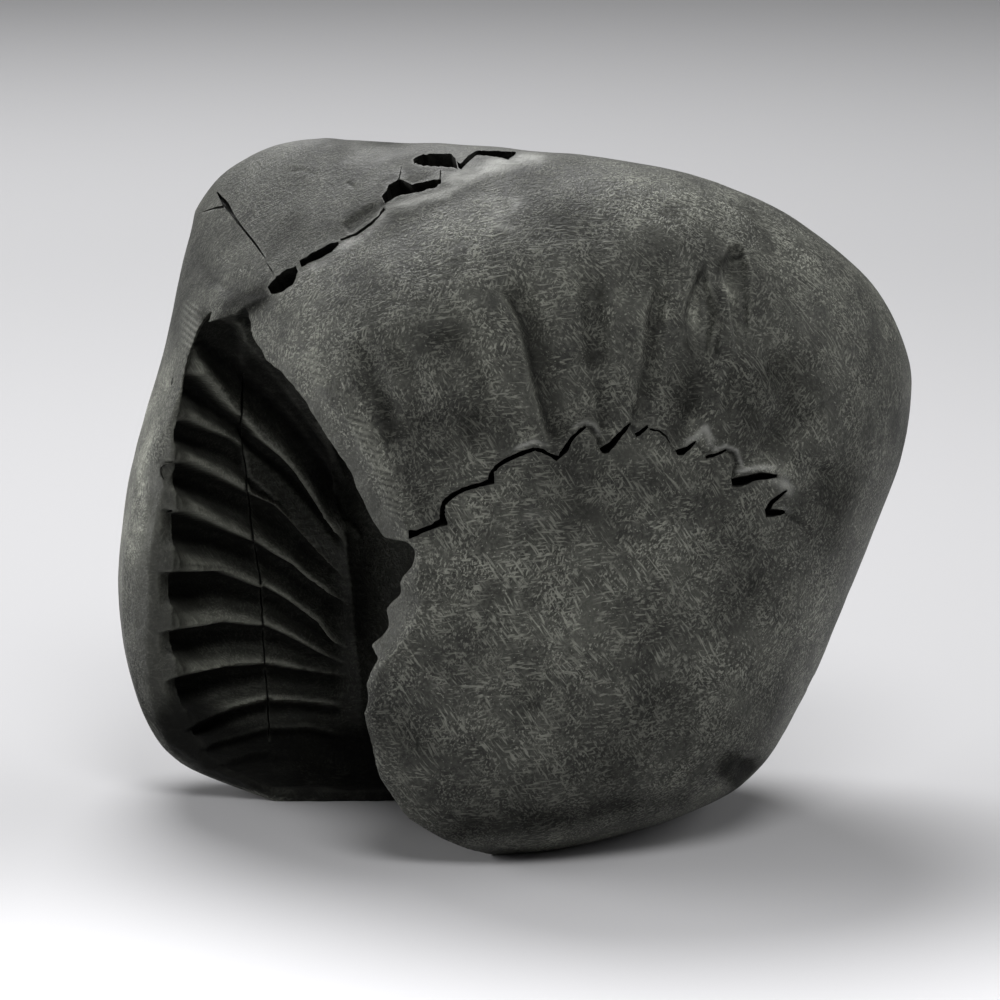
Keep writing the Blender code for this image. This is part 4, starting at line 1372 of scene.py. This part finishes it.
    def fresh(self, u: Array, v: Array) -> Array:
        """How fresh the break is at seen places: pale bevels along the hood's edge and the seam's lips.

        Args:
            u: seen places across.
            v: seen places up.

        Returns:
            The freshness, 0 to 1.
        """
        lips: tuple[tuple[Pairs, float, float], ...] = (
            (along(-22, 25.1, -20.3, 25.9, -19.1, 27), 0.5, 0.5),
            (along(-18.6, 27.4, -17, 28.2, -15.3, 29.3, -14, 30.9), 0.5, 0.8),
            (along(-14.4, 30.7, -13.2, 31.6, -10.2, 32.4, -7.5, 33.2, -5.2, 34.4, -2.4, 35.5, -0.2, 36.2),
             0.5, 0.95),
            (along(-7, 34.6, -5, 35.2, -2.6, 36, 0.4, 36.7, 2.6, 36.8), 0.6, 0.85),
            (along(-3, 32.5, -2.4, 32.3), 0.35, 0.6),
            (along(-1.6, 29.5, -0.2, 29.2), 0.22, 0.6),
            (along(-1, 5, 0.6, 5.8, 2.1, 6.3, 3.4, 5.9), 0.2, 0.5),
            (along(6.4, 7.9, 7.4, 8.4, 8.6, 8.1, 9.1, 7), 0.2, 0.5),
            (along(18.4, 6, 19.6, 6.7, 20.5, 7.8, 21, 6.3), 0.4, 0.45),
            (along(24, 3.1, 26.2, 3.5, 27.9, 3.5), 0.24, 0.6),
            (along(27.4, 2.6, 28.6, 2.2, 29.4, 1.2), 0.75, 0.35),
            (along(21.6, 5.5, 22.7, 5.8, 23.9, 5.3, 24.4, 3.8), 0.2, 0.5),
            (along(28.8, -0.9, 29.6, -1.3), 0.3, 0.25),
            (along(12.7, -2.9, 20.4, -2.9), 0.15, 0.22),
            (along(-3.8, -1.7, 3.1, -1.5), 0.15, 0.22),
            (along(-6.7, 26.8, -2.5, 29.3), 0.18, 0.35),
            (along(-2.6, 31.2, 0.9, 32.6), 0.18, 0.4),
            (along(-3.3, 29.4, 0, 31.3), 0.15, 0.3),
            (along(0.15, 31.9, 0.3, 31.9), 0.32, 1.0),
        )
        total = np.zeros(len(u))
        for path, width, strength in lips:
            total = np.maximum(total, Mark(path, width, -strength, 3.0, 0.0).height(u, v))
        return total

    def hatch(self, u: Array, v: Array) -> Array:
        """Where fine parallel ridges show: along the hood's brow and on the left of the cap's rim.

        Args:
            u: seen places across.
            v: seen places up.

        Returns:
            The strength of the ridges, 0 to 1.
        """
        total = np.zeros(len(u))
        for path, width in (
            (along(-17.8, 9.6, -15.2, 4.8, -14, 1.8, -12.4, -2.4), 0.85),
            (along(-34.9, 21.4, -34.8, 19, -34.7, 15.8), 1.0),
            (along(-22.8, 16, -20.6, 12.4), 0.6),
        ):
            total = np.maximum(total, Mark(path, width, -1.0, 4.0, 0.1).height(u, v))
        return total


# --- finishes


class Wiring:
    """Adds shader nodes to one material and links them."""

    def __init__(self, name: str) -> None:
        """Makes the material and keeps its shader.

        Args:
            name: name of the material.
        """
        self.material = bpy.data.materials.new(name)
        self.material.use_nodes = True
        self.tree = self.material.node_tree
        self.shader = self.tree.nodes["Principled BSDF"]
        self.place = self.tree.nodes.new("ShaderNodeTexCoord").outputs["Object"]

    def put(self, socket: Socket, value: object) -> None:
        """Links a socket to another node's output, or sets its value.

        Args:
            socket: the input to set.
            value: the output or the value.
        """
        if isinstance(value, Socket):
            self.tree.links.new(value, socket)
        else:
            socket.default_value = value

    def node(self, kind: str, inputs: dict[str | int, object], **settings: object) -> bpy.types.Node:
        """A new shader node.

        Args:
            kind: the node's kind, without its prefix.
            inputs: values or links of its inputs, by name or number.
            settings: the node's own settings, made before its inputs.

        Returns:
            The node.
        """
        node = self.tree.nodes.new(f"ShaderNode{kind}")
        for name, value in settings.items():
            setattr(node, name, value)
        for name, value in inputs.items():
            self.put(node.inputs[name], value)
        return node

    def swirled(self, scale: float, reach: float) -> Socket:
        """Object coordinates pushed about by a slow noise, so that straight strokes on them bend.

        Args:
            scale: scale of the noise.
            reach: how far it pushes, in metres.

        Returns:
            The pushed coordinates.
        """
        slow = self.node("TexNoise", {"Vector": self.place, "Scale": scale, "Detail": 1.0}).outputs["Color"]
        push = {0: slow, 1: (reach,) * 3, 2: self.place}
        return self.node("VectorMath", push, operation="MULTIPLY_ADD").outputs["Vector"]

    def turned(self, place: Socket, angles: Triple, scale: Triple) -> Socket:
        """A place turned by angles in degrees and then stretched."""
        turn = self.node("Mapping", {"Vector": place, "Rotation": [math.radians(a) for a in angles]})
        return self.node("Mapping", {"Vector": turn.outputs["Vector"], "Scale": scale}).outputs["Vector"]

    def channels(self, place: Socket, scale: float, detail: float) -> list[Socket]:
        """Three unlike noises from one node."""
        noise = self.node("TexNoise", {"Vector": place, "Scale": scale, "Detail": detail})
        return list(self.node("SeparateColor", {"Color": noise.outputs["Color"]}).outputs)

    def bands(self, place: Socket, gap: float) -> Socket:
        """Even bands across the third direction, one for each gap in metres."""
        inputs = {"Vector": place, "Scale": 2 * math.pi / (20 * gap), "Distortion": 0.8, "Detail": 1.0}
        return self.node("TexWave", inputs, wave_type="BANDS", bands_direction="Z").outputs["Fac"]

    def noise(self, place: Socket, scale: float, detail: float, rough: float) -> Socket:
        """Noise between 0 and 1."""
        inputs = {"Vector": place, "Scale": scale, "Detail": detail, "Roughness": rough}
        return self.node("TexNoise", inputs).outputs["Fac"]

    def remap(self, value: object, low: float, high: float, start: float = 0.0, end: float = 1.0) -> Socket:
        """Carries low..high to start..end with an S-shaped rise, held at the ends."""
        inputs = {"Value": value, "From Min": low, "From Max": high, "To Min": start, "To Max": end}
        return self.node("MapRange", inputs, interpolation_type="SMOOTHSTEP").outputs["Result"]

    def sum(self, operation: str, first: object, second: object, third: object = 0.0) -> Socket:
        """Arithmetic on two or three numbers."""
        return self.node("Math", {0: first, 1: second, 2: third}, operation=operation).outputs["Value"]

    def blend(self, share: object, first: object, second: object) -> Socket:
        """Colour that goes from the first to the second."""
        return self.node("Mix", {"Factor": share, 6: first, 7: second}, data_type="RGBA").outputs[2]

    def attribute(self, name: str) -> Socket:
        """A number stored on the mesh."""
        return self.node("Attribute", {}, attribute_name=name).outputs["Fac"]

    def scaled(self, colour: Socket, factor: object) -> Socket:
        """A colour times a number."""
        return self.node("VectorMath", {0: colour, "Scale": factor}, operation="SCALE").outputs["Vector"]

    def bump(self, height: object, distance: float) -> Socket:
        """Normal bent by a height, in metres at full height."""
        return self.node("Bump", {"Height": height, "Distance": distance}).outputs["Normal"]


def grey(level: float, warmth: float = 0.13) -> tuple[float, float, float, float]:
    """A grey, its blue taken down by a share and its green up by a sixth of that: the shale's faint olive."""
    return (level, level * (1 + warmth / 6), level * (1 - warmth), 1.0)


@dataclass(frozen=True)
class Patches:
    """A noise on Object coordinates, carried from low..high to 0..1."""

    scale: float
    detail: float
    rough: float
    low: float
    high: float

    def on(self, wires: Wiring, place: Socket) -> Socket:
        """The patches at a place, near 1 inside one and 0 between them."""
        return wires.remap(wires.noise(place, self.scale, self.detail, self.rough), self.low, self.high)


@dataclass(frozen=True)
class ShaleFinish:
    """Black shale rubbed by a river: mottled dark grey under a web of fine pale strokes."""

    base: float = 0.020
    mid: float = 0.052
    pale: float = 0.24
    fresh: float = 0.40
    hollow: float = 0.045
    roughness: float = 0.56
    dull: float = 1.0
    sheen: float = 0.24
    swirl_scale: float = 130.0
    swirl_reach: float = 0.0018
    stroke: Patches = Patches(4300.0, 1.5, 0.55, 0.52, 0.66)
    stroke_stretches: Triple = (0.12, 0.19, 0.28)
    stroke_turns: tuple[Triple, ...] = ((0.0, 35.0, 10.0), (15.0, 95.0, 30.0), (40.0, -20.0, 75.0))
    stroke_field: tuple[float, float] = (0.40, 0.60)
    field_scale: float = 330.0
    cloud: Patches = Patches(260.0, 4.0, 0.62, 0.36, 0.66)
    speckle: Patches = Patches(2100.0, 2.0, 0.65, 0.38, 0.68)
    fleck: Patches = Patches(3600.0, 1.0, 0.5, 0.64, 0.74)
    cloud_share: float = 0.75
    speckle_share: float = 0.50
    hollow_share: float = 0.7
    stroke_share: float = 0.66
    fleck_share: float = 0.65
    hatch_share: float = 0.35
    edge_share: float = 0.20
    crease_shade_share: float = 0.5
    inside_strokes: float = 0.35
    smooth_strokes: float = 0.5
    hatch_gap: float = 0.00062
    hatch_lean: float = -12.0
    speckle_gain: float = 1.6
    crease_shade_gain: float = 0.5
    dull_tone: float = -1.8
    crack_wall_shade: float = 0.3
    wall_ramp: tuple[float, float] = (0.3, 0.7)
    speckle_relief: float = 0.5
    ridge_relief: float = 1.6
    relief: float = 0.00008

    def strokes(self, wires: Wiring) -> Socket:
        """Worm-like strokes: the brightest of three stretched noises on bent coordinates, each in patches.

        Args:
            wires: the material.

        Returns:
            A socket that is near 1 on a stroke and 0 off it.
        """
        bent = wires.swirled(self.swirl_scale, self.swirl_reach)
        fields = wires.channels(wires.place, self.field_scale, 1.0)
        total: object = 0.0
        for angles, stretch, patch in zip(self.stroke_turns, self.stroke_stretches, fields):
            stroke = self.stroke.on(wires, wires.turned(bent, angles, (1.0, 1.0, stretch)))
            share = wires.remap(patch, *self.stroke_field)
            total = wires.sum("MAXIMUM", total, wires.sum("MULTIPLY", stroke, share))
        return total

    def make(self) -> bpy.types.Material:
        """The finish as a material, read from the coordinates and the numbers stored on the stone.

        Returns:
            The material.
        """
        wires = Wiring(SLOT)
        names = ("skin", "edge", "crease_shade", "fresh", "hatch", "smooth", "tone_and_painted_light", "outside")
        skin, edge, crease_shade, fresh, hatch, smooth, tone_and_painted_light, outside = (wires.attribute(name) for name in names)
        rubbed = wires.sum(
            "MULTIPLY",
            wires.remap(skin, 0.0, 1.0, self.inside_strokes, 1.0),
            wires.remap(smooth, 0.0, 1.0, 1.0, self.smooth_strokes),
        )
        strokes = wires.sum("MULTIPLY", self.strokes(wires), rubbed)
        flecks = wires.sum("MULTIPLY", self.fleck.on(wires, wires.place), rubbed)
        speckle = self.speckle.on(wires, wires.place)
        leaned = wires.turned(wires.place, (0.0, self.hatch_lean, 0.0), (1.0, 1.0, 1.0))
        ridges = wires.sum("MULTIPLY", wires.bands(leaned, self.hatch_gap), hatch)
        inside = wires.sum("SUBTRACT", 1.0, wires.remap(skin, 0.0, 1.0))
        colour: object = grey(self.base)
        for where, share, level in (
            (self.cloud.on(wires, wires.place), self.cloud_share, self.mid),
            (speckle, self.speckle_share, self.mid * self.speckle_gain),
            (inside, self.hollow_share, self.hollow),
            (strokes, self.stroke_share, self.pale),
            (flecks, self.fleck_share, self.pale),
            (ridges, self.hatch_share, self.pale),
            (edge, self.edge_share, self.pale),
            # Painted shade in the creases.
            (crease_shade, self.crease_shade_share, self.base * self.crease_shade_gain),
        ):
            colour = wires.blend(wires.sum("MULTIPLY", where, share), colour, grey(level))
        # The stored brightness holds the stone's own darker and paler places together with painted shade and
        # painted highlights.
        colour = wires.scaled(colour, wires.sum("POWER", 2.0, tone_and_painted_light))
        colour = wires.blend(fresh, colour, grey(self.fresh, 0.05))
        # Painted shade on the crack walls: faces without the outside mark, which the crack cutters leave.
        colour = wires.scaled(colour, wires.remap(outside, *self.wall_ramp, self.crack_wall_shade, 1.0))
        wires.put(wires.shader.inputs["Base Color"], colour)
        roughness = wires.remap(tone_and_painted_light, self.dull_tone, 0.0, self.dull, self.roughness)
        wires.put(wires.shader.inputs["Roughness"], roughness)
        wires.shader.inputs["Specular IOR Level"].default_value = self.sheen
        height = wires.sum("MULTIPLY_ADD", speckle, self.speckle_relief, strokes)
        height = wires.sum("MULTIPLY_ADD", ridges, self.ridge_relief, height)
        wires.put(wires.shader.inputs["Normal"], wires.bump(height, self.relief))
        return wires.material


@dataclass(frozen=True)
class PaleFinish:
    """A pale floor with painted light: paler before the stone, where its shadow falls, a little darker behind
    it and darker again far away.
    """

    # Painted light: the floor before the stone is paler where the stone's shadow falls.
    near: float = 0.92
    middle: float = 0.50
    far: float = 0.36
    across: tuple[float, float] = (-0.09, 0.0)
    away: tuple[float, float] = (0.05, 0.40)
    cool: float = -0.02
    roughness: float = 0.8
    sheen: float = 0.2

    def make(self) -> bpy.types.Material:
        """The finish as a material, which goes from near to middle to far.

        Returns:
            The material.
        """
        wires = Wiring("pale_floor")
        near, middle, far = (grey(level, self.cool) for level in (self.near, self.middle, self.far))
        reach = wires.node("VectorMath", {0: wires.place}, operation="LENGTH").outputs["Value"]
        depth = wires.node("SeparateXYZ", {0: wires.place}).outputs["Y"]
        colour = wires.blend(wires.remap(depth, *self.across), near, middle)
        colour = wires.blend(wires.remap(reach, *self.away), colour, far)
        wires.put(wires.shader.inputs["Base Color"], colour)
        wires.shader.inputs["Roughness"].default_value = self.roughness
        wires.shader.inputs["Specular IOR Level"].default_value = self.sheen
        return wires.material


# --- the stone


@dataclass
class ShaligramStone:
    """The whole stone: cut, skinned anew, worn, given its relief, cracked, stood up and dressed."""

    lump: Lump = field(default_factory=Lump)
    mould: Mould = field(default_factory=Mould)
    pocket: Pocket = field(default_factory=Pocket)
    mouth: Mouth = field(default_factory=Mouth)
    shoulder: Shoulder = field(default_factory=Shoulder)
    relief: Relief = field(default_factory=Relief)
    finish: ShaleFinish = field(default_factory=ShaleFinish)
    grid: float = 0.24
    quick_grid: float = 0.45
    wear: int = 2
    triangles: int = 190000
    rim_reach: float = 1.9
    sharp: float = 50.0
    bent: tuple[float, float] = (0.006, 0.035)
    cap_line_u: tuple[float, ...] = (-26.8, -13.9, -8.1, 0.5)
    cap_line_v: tuple[float, ...] = (22.1, 31.6, 35.0, 37.7)
    crack_path: Pairs = along(-29.25, 13.6, -29.3, 11.8, -29.5, 7.5, -28.8, 1.4, -28.1, -4.2, -27.4, -8.8,
        -27.2, -12.6, -27, -16.6, -26.6, -21.5, -26.4, -26)
    crack_section: Pairs = along(-1, -1.2, 1, -1.2, 1, 0.1, 0.3, 1.3, -0.3, 1.3, -1, 0.1)
    crack_half: float = 0.07
    crack_spread: float = 0.04
    crack_end: float = 0.03
    crack_wander: float = 0.08

    @staticmethod
    def applied(item: Piece) -> bpy.types.Mesh:
        """A new mesh of an object as its modifiers leave it, with the object taken away.

        Args:
            item: the object.

        Returns:
            The mesh.
        """
        graph = bpy.context.evaluated_depsgraph_get()
        graph.update()
        result = item.evaluated_get(graph)
        mesh = bpy.data.meshes.new_from_object(result, preserve_all_data_layers=True, depsgraph=graph)
        take_away([item])
        return mesh

    @staticmethod
    def take_out(item: Piece, cutters: list[Piece]) -> None:
        """Puts one Boolean difference on an object for each cutter.

        Args:
            item: the object.
            cutters: the shapes to cut out of it.
        """
        for cutter in cutters:
            boolean = item.modifiers.new(cutter.name, "BOOLEAN")
            boolean.operation = "DIFFERENCE"
            boolean.solver = "MANIFOLD"
            boolean.object = cutter

    def big_forms(self) -> bpy.types.Mesh:
        """Cuts the hollow from the lump and skins the result with an even grid of small faces.

        Returns:
            The new mesh, in profile millimetres.
        """
        stone = self.lump.shell()
        cutters = [self.mouth.cutter(self.lump)]
        cutters += [form.cutter() for form in (self.shoulder, self.mould, self.pocket)]
        self.take_out(stone, cutters)
        remesh = stone.modifiers.new("even_skin", "REMESH")
        remesh.mode = "VOXEL"
        remesh.voxel_size = self.grid
        mesh = self.applied(stone)
        take_away(cutters)
        return mesh

    def regions(self, points: Array) -> tuple[Array, Array, Array]:
        """How far below the lump's skin each point is, and how much it is mould wall and reached by grooves.

        Args:
            points: profile points.

        Returns:
            The depth below the skin, and the two shares; the grooves run on a little over the lobe's rim.
        """
        below = self.lump.below_skin(points)
        behind = points[:, 1] - by_height(points[:, 2], BREAK)
        beyond = self.mould.left(points[:, 2]) - points[:, 0]
        inner = smooth_step(below, 0.9, 1.8) * (1 - smooth_step(points[:, 0], -17.5, -14.5))
        hollow = inner * smooth_step(behind, 0.25, 0.9) * (1 - smooth_step(beyond, -0.5, 0.3))
        groove = inner * smooth_step(behind, -0.8, -0.3) * (1 - smooth_step(beyond, 0.0, self.rim_reach))
        groove *= 1 - smooth_step(points[:, 2], 18.5, 20.5)
        return below, hollow, groove

    def sculpt(self, mesh: bpy.types.Mesh) -> None:
        """Wears the cut mesh, adds the relief, and stores what the finish reads.

        Args:
            mesh: the mesh of the big forms, in profile millimetres.
        """
        surface = Surface.read(mesh)
        surface.smooth(self.wear)
        surface.write(mesh)
        normals = normals_of(mesh)
        below, hollow, groove = self.regions(surface.points)
        height, tone_and_painted_light = self.relief.carve(surface.points, -normals[:, 1], below, hollow, groove)
        surface.points += normals * height[:, None]
        surface.smooth(1, 0.4)
        surface.write(mesh)
        bend = surface.bend(normals_of(mesh), 2)
        u, v = PROFILE.seen(surface.points)
        front = smooth_step(-normals[:, 1], -0.1, 0.2) * (1 - smooth_step(below, 1.0, 2.2))
        patchy = np.clip(0.62 + 0.5 * Grain(71).layered(surface.points, 1.1, 2), 0.1, 1.0)
        line = np.interp(u, self.cap_line_u, self.cap_line_v)
        cap = smooth_step(v - line, -2.2, 0.0) * (1 - smooth_step(u, 0.0, 3.0))
        lobe = 1 - smooth_step(u, -36.0, -33.0)
        scooped = smooth_step(-self.relief.scooped(u, v), 0.1, 0.5) * front
        # Crack walls cut later lack this mark, and the finish paints shade on them.
        self.store(mesh, "outside", np.ones(len(mesh.polygons)), "FACE")
        # The stored brightness holds painted shade and highlights besides the stone's own darker and paler
        # places; the crease mark becomes painted shade in the finish.
        for name, values in (
            ("tone_and_painted_light", np.clip(tone_and_painted_light, -3.0, 2.5)),
            ("skin", 1 - smooth_step(below, 0.5, 1.4)),
            ("edge", smooth_step(-bend, *self.bent)),
            ("crease_shade", smooth_step(bend, *self.bent)),
            ("fresh", self.relief.fresh(u, v) * front * patchy),
            ("hatch", self.relief.hatch(u, v) * smooth_step(-normals[:, 1], -0.1, 0.2)),
            ("smooth", np.maximum(np.maximum(cap, lobe), scooped)),
        ):
            self.store(mesh, name, values)

    def midline_crack(self, mesh: bpy.types.Mesh) -> Piece:
        """The fine crack down the mould's middle, whose lips follow the ribs.

        Args:
            mesh: the sculpted mesh, in profile millimetres.

        Returns:
            The crack's cutter.
        """
        surface = Surface.read(mesh)
        hollow = self.regions(surface.points)[1]
        wall = surface.points[hollow > 0.8]
        u, v = PROFILE.seen(wall)
        path = in_steps(self.crack_path, 5)
        nearest = np.argmin((path[:, :1] - u) ** 2 + (path[:, 1:] - v) ** 2, axis=1)
        chance = np.random.default_rng(17)
        path[:, 0] += chance.uniform(-self.crack_wander, self.crack_wander, len(path))
        half = self.crack_half + self.crack_spread * chance.random(len(path))
        half[[0, -1]] = self.crack_end
        rings = []
        for side, depth in self.crack_section:
            line = np.stack([path[:, 0] + side * half, path[:, 1]], axis=-1)
            rings.append(PROFILE.behind(line, wall[nearest, 1] + depth))
        return loft("midline_cutter", np.stack(rings, axis=1))

    @staticmethod
    def store(mesh: bpy.types.Mesh, name: str, values: Array, domain: str = "POINT") -> None:
        """Stores a number for each point or each face of a mesh."""
        attribute = mesh.attributes.new(name, "FLOAT", domain)
        attribute.data.foreach_set("value", values.astype(np.float32))

    def build(self) -> Piece:
        """Builds and dresses the stone.

        Returns:
            The finished piece.
        """
        mesh = self.big_forms()
        LOG.info("big forms: %d points", len(mesh.vertices))
        self.sculpt(mesh)
        LOG.info("sculpted")
        cutters = [
            together("seam_cutter", [gap.cutter(self.lump) for gap in SEAM_GAPS]),
            together("cap_cutter", [gap.cutter(self.lump) for gap in CAP_GAPS]),
        ]
        thin_ones = [gap.cutter(self.lump) for gap in THIN_GAPS]
        cutters.append(together("thin_cutter", [*thin_ones, self.midline_crack(mesh)]))
        stone = placed("sculpted", mesh)
        self.take_out(stone, cutters)
        faces = sum(len(p.vertices) - 2 for p in mesh.polygons)
        thin = stone.modifiers.new("thin", "DECIMATE")
        thin.ratio = min(1.0, self.triangles / faces)
        mesh = self.applied(stone)
        take_away(cutters)
        surface = Surface.read(mesh)
        surface.points = PROFILE.to_room(surface.points)
        surface.points[:, 2] = np.maximum(surface.points[:, 2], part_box(NODE)[0].z)
        surface.write(mesh)
        mesh.name = "worn_stone"
        mesh.shade_smooth()
        mesh.set_sharp_from_angle(angle=math.radians(self.sharp))
        mesh.materials.clear()
        mesh.materials.append(self.finish.make())
        stone = placed("worn_stone", mesh)
        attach(stone, "root")
        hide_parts(NODE)
        return stone


# --- the studio


@dataclass(frozen=True)
class Lamp:
    """A round soft lamp that points at the stone."""

    name: str
    place: Triple
    size: float
    power: float
    aim: float = 0.035

    def light(self) -> None:
        """Puts the lamp into the scene."""
        data = bpy.data.lights.new(self.name, "AREA")
        data.shape = "DISK"
        data.size = self.size
        data.energy = self.power
        item = placed(self.name, data)
        item.location = self.place
        way = Vector((0.0, 0.0, self.aim)) - item.location
        item.rotation_euler = way.to_track_quat("-Z", "Y").to_euler()


@dataclass(frozen=True)
class Studio:
    """A pale floor with painted light before the stone, soft light from above and from both sides, and the
    camera before the worn face.
    """

    floor_rings: tuple[float, ...] = (0.15, 0.5, 1.5, 4.0)
    floor_sides: int = 64
    floor_drop: float = 0.00005
    lamps: tuple[Lamp, ...] = (
        Lamp("overhead", (-0.15, 0.48, 0.60), 0.5, 7.0),
        Lamp("left", (-0.70, 0.12, 0.16), 0.45, 3.6),
        Lamp("right", (0.70, 0.15, 0.35), 0.5, 1.8),
        Lamp("front", (0.07, -0.40, 0.57), 0.3, 2.0),
    )
    world_level: float = 0.08
    camera_distance: float = 0.55
    camera_elevation: float = 12.0
    camera_target: Triple = (-0.00133, -0.00025, 0.03384)
    lens: float = 184.0

    def floor(self) -> Piece:
        """A wide disc just under the stone: rings of points round its middle.

        Returns:
            The floor.
        """
        radius = np.array(self.floor_rings)[:, None]
        turn = np.linspace(0, 2 * math.pi, self.floor_sides, endpoint=False)[None, :]
        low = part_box(NODE)[0].z - self.floor_drop
        rings = np.stack([radius * np.cos(turn), radius * np.sin(turn), low + 0 * radius * turn], axis=-1)
        i, j = np.arange(self.floor_sides), (np.arange(self.floor_sides) + 1) % self.floor_sides
        faces = [i.tolist()]
        for near in range(0, (len(self.floor_rings) - 1) * self.floor_sides, self.floor_sides):
            far = near + self.floor_sides
            faces += np.stack([near + i, far + i, far + j, near + j], axis=-1).tolist()
        mesh = bpy.data.meshes.new("pale_floor")
        mesh.from_pydata(rings.reshape(-1, 3).tolist(), [], faces)
        mesh.materials.append(PaleFinish().make())
        item = placed("pale_floor", mesh)
        return item

    def light(self) -> None:
        """The lamps and a faint even surround."""
        for lamp in self.lamps:
            lamp.light()
        world = bpy.data.worlds.new("surround")
        world.use_nodes = True
        world.node_tree.nodes["Background"].inputs["Color"].default_value = grey(1.0, 0.0)
        world.node_tree.nodes["Background"].inputs["Strength"].default_value = self.world_level
        bpy.context.scene.world = world
        bpy.context.scene.view_settings.view_transform = "Standard"

    def camera(self) -> None:
        """The camera, level with the lean of the face."""
        data = bpy.data.cameras.new("front")
        data.lens = self.lens
        data.clip_start = 0.01
        item = placed("front", data)
        rise = math.radians(self.camera_elevation)
        x, y, z = self.camera_target
        item.location = (
            x, y - self.camera_distance * math.cos(rise), z + self.camera_distance * math.sin(rise)
        )
        item.rotation_euler = (math.pi / 2 - rise, 0.0, 0.0)
        bpy.context.scene.camera = item


def main() -> None:
    logging.basicConfig(level=logging.INFO, format="%(name)s: %(message)s")
    studio = Studio()
    studio.floor()
    studio.light()
    studio.camera()
    LOG.info("studio: floor, lamps and camera")
    stone = ShaligramStone().build()
    LOG.info("%s: %d faces", stone.name, len(stone.data.polygons))


if __name__ == "__main__":
    main()
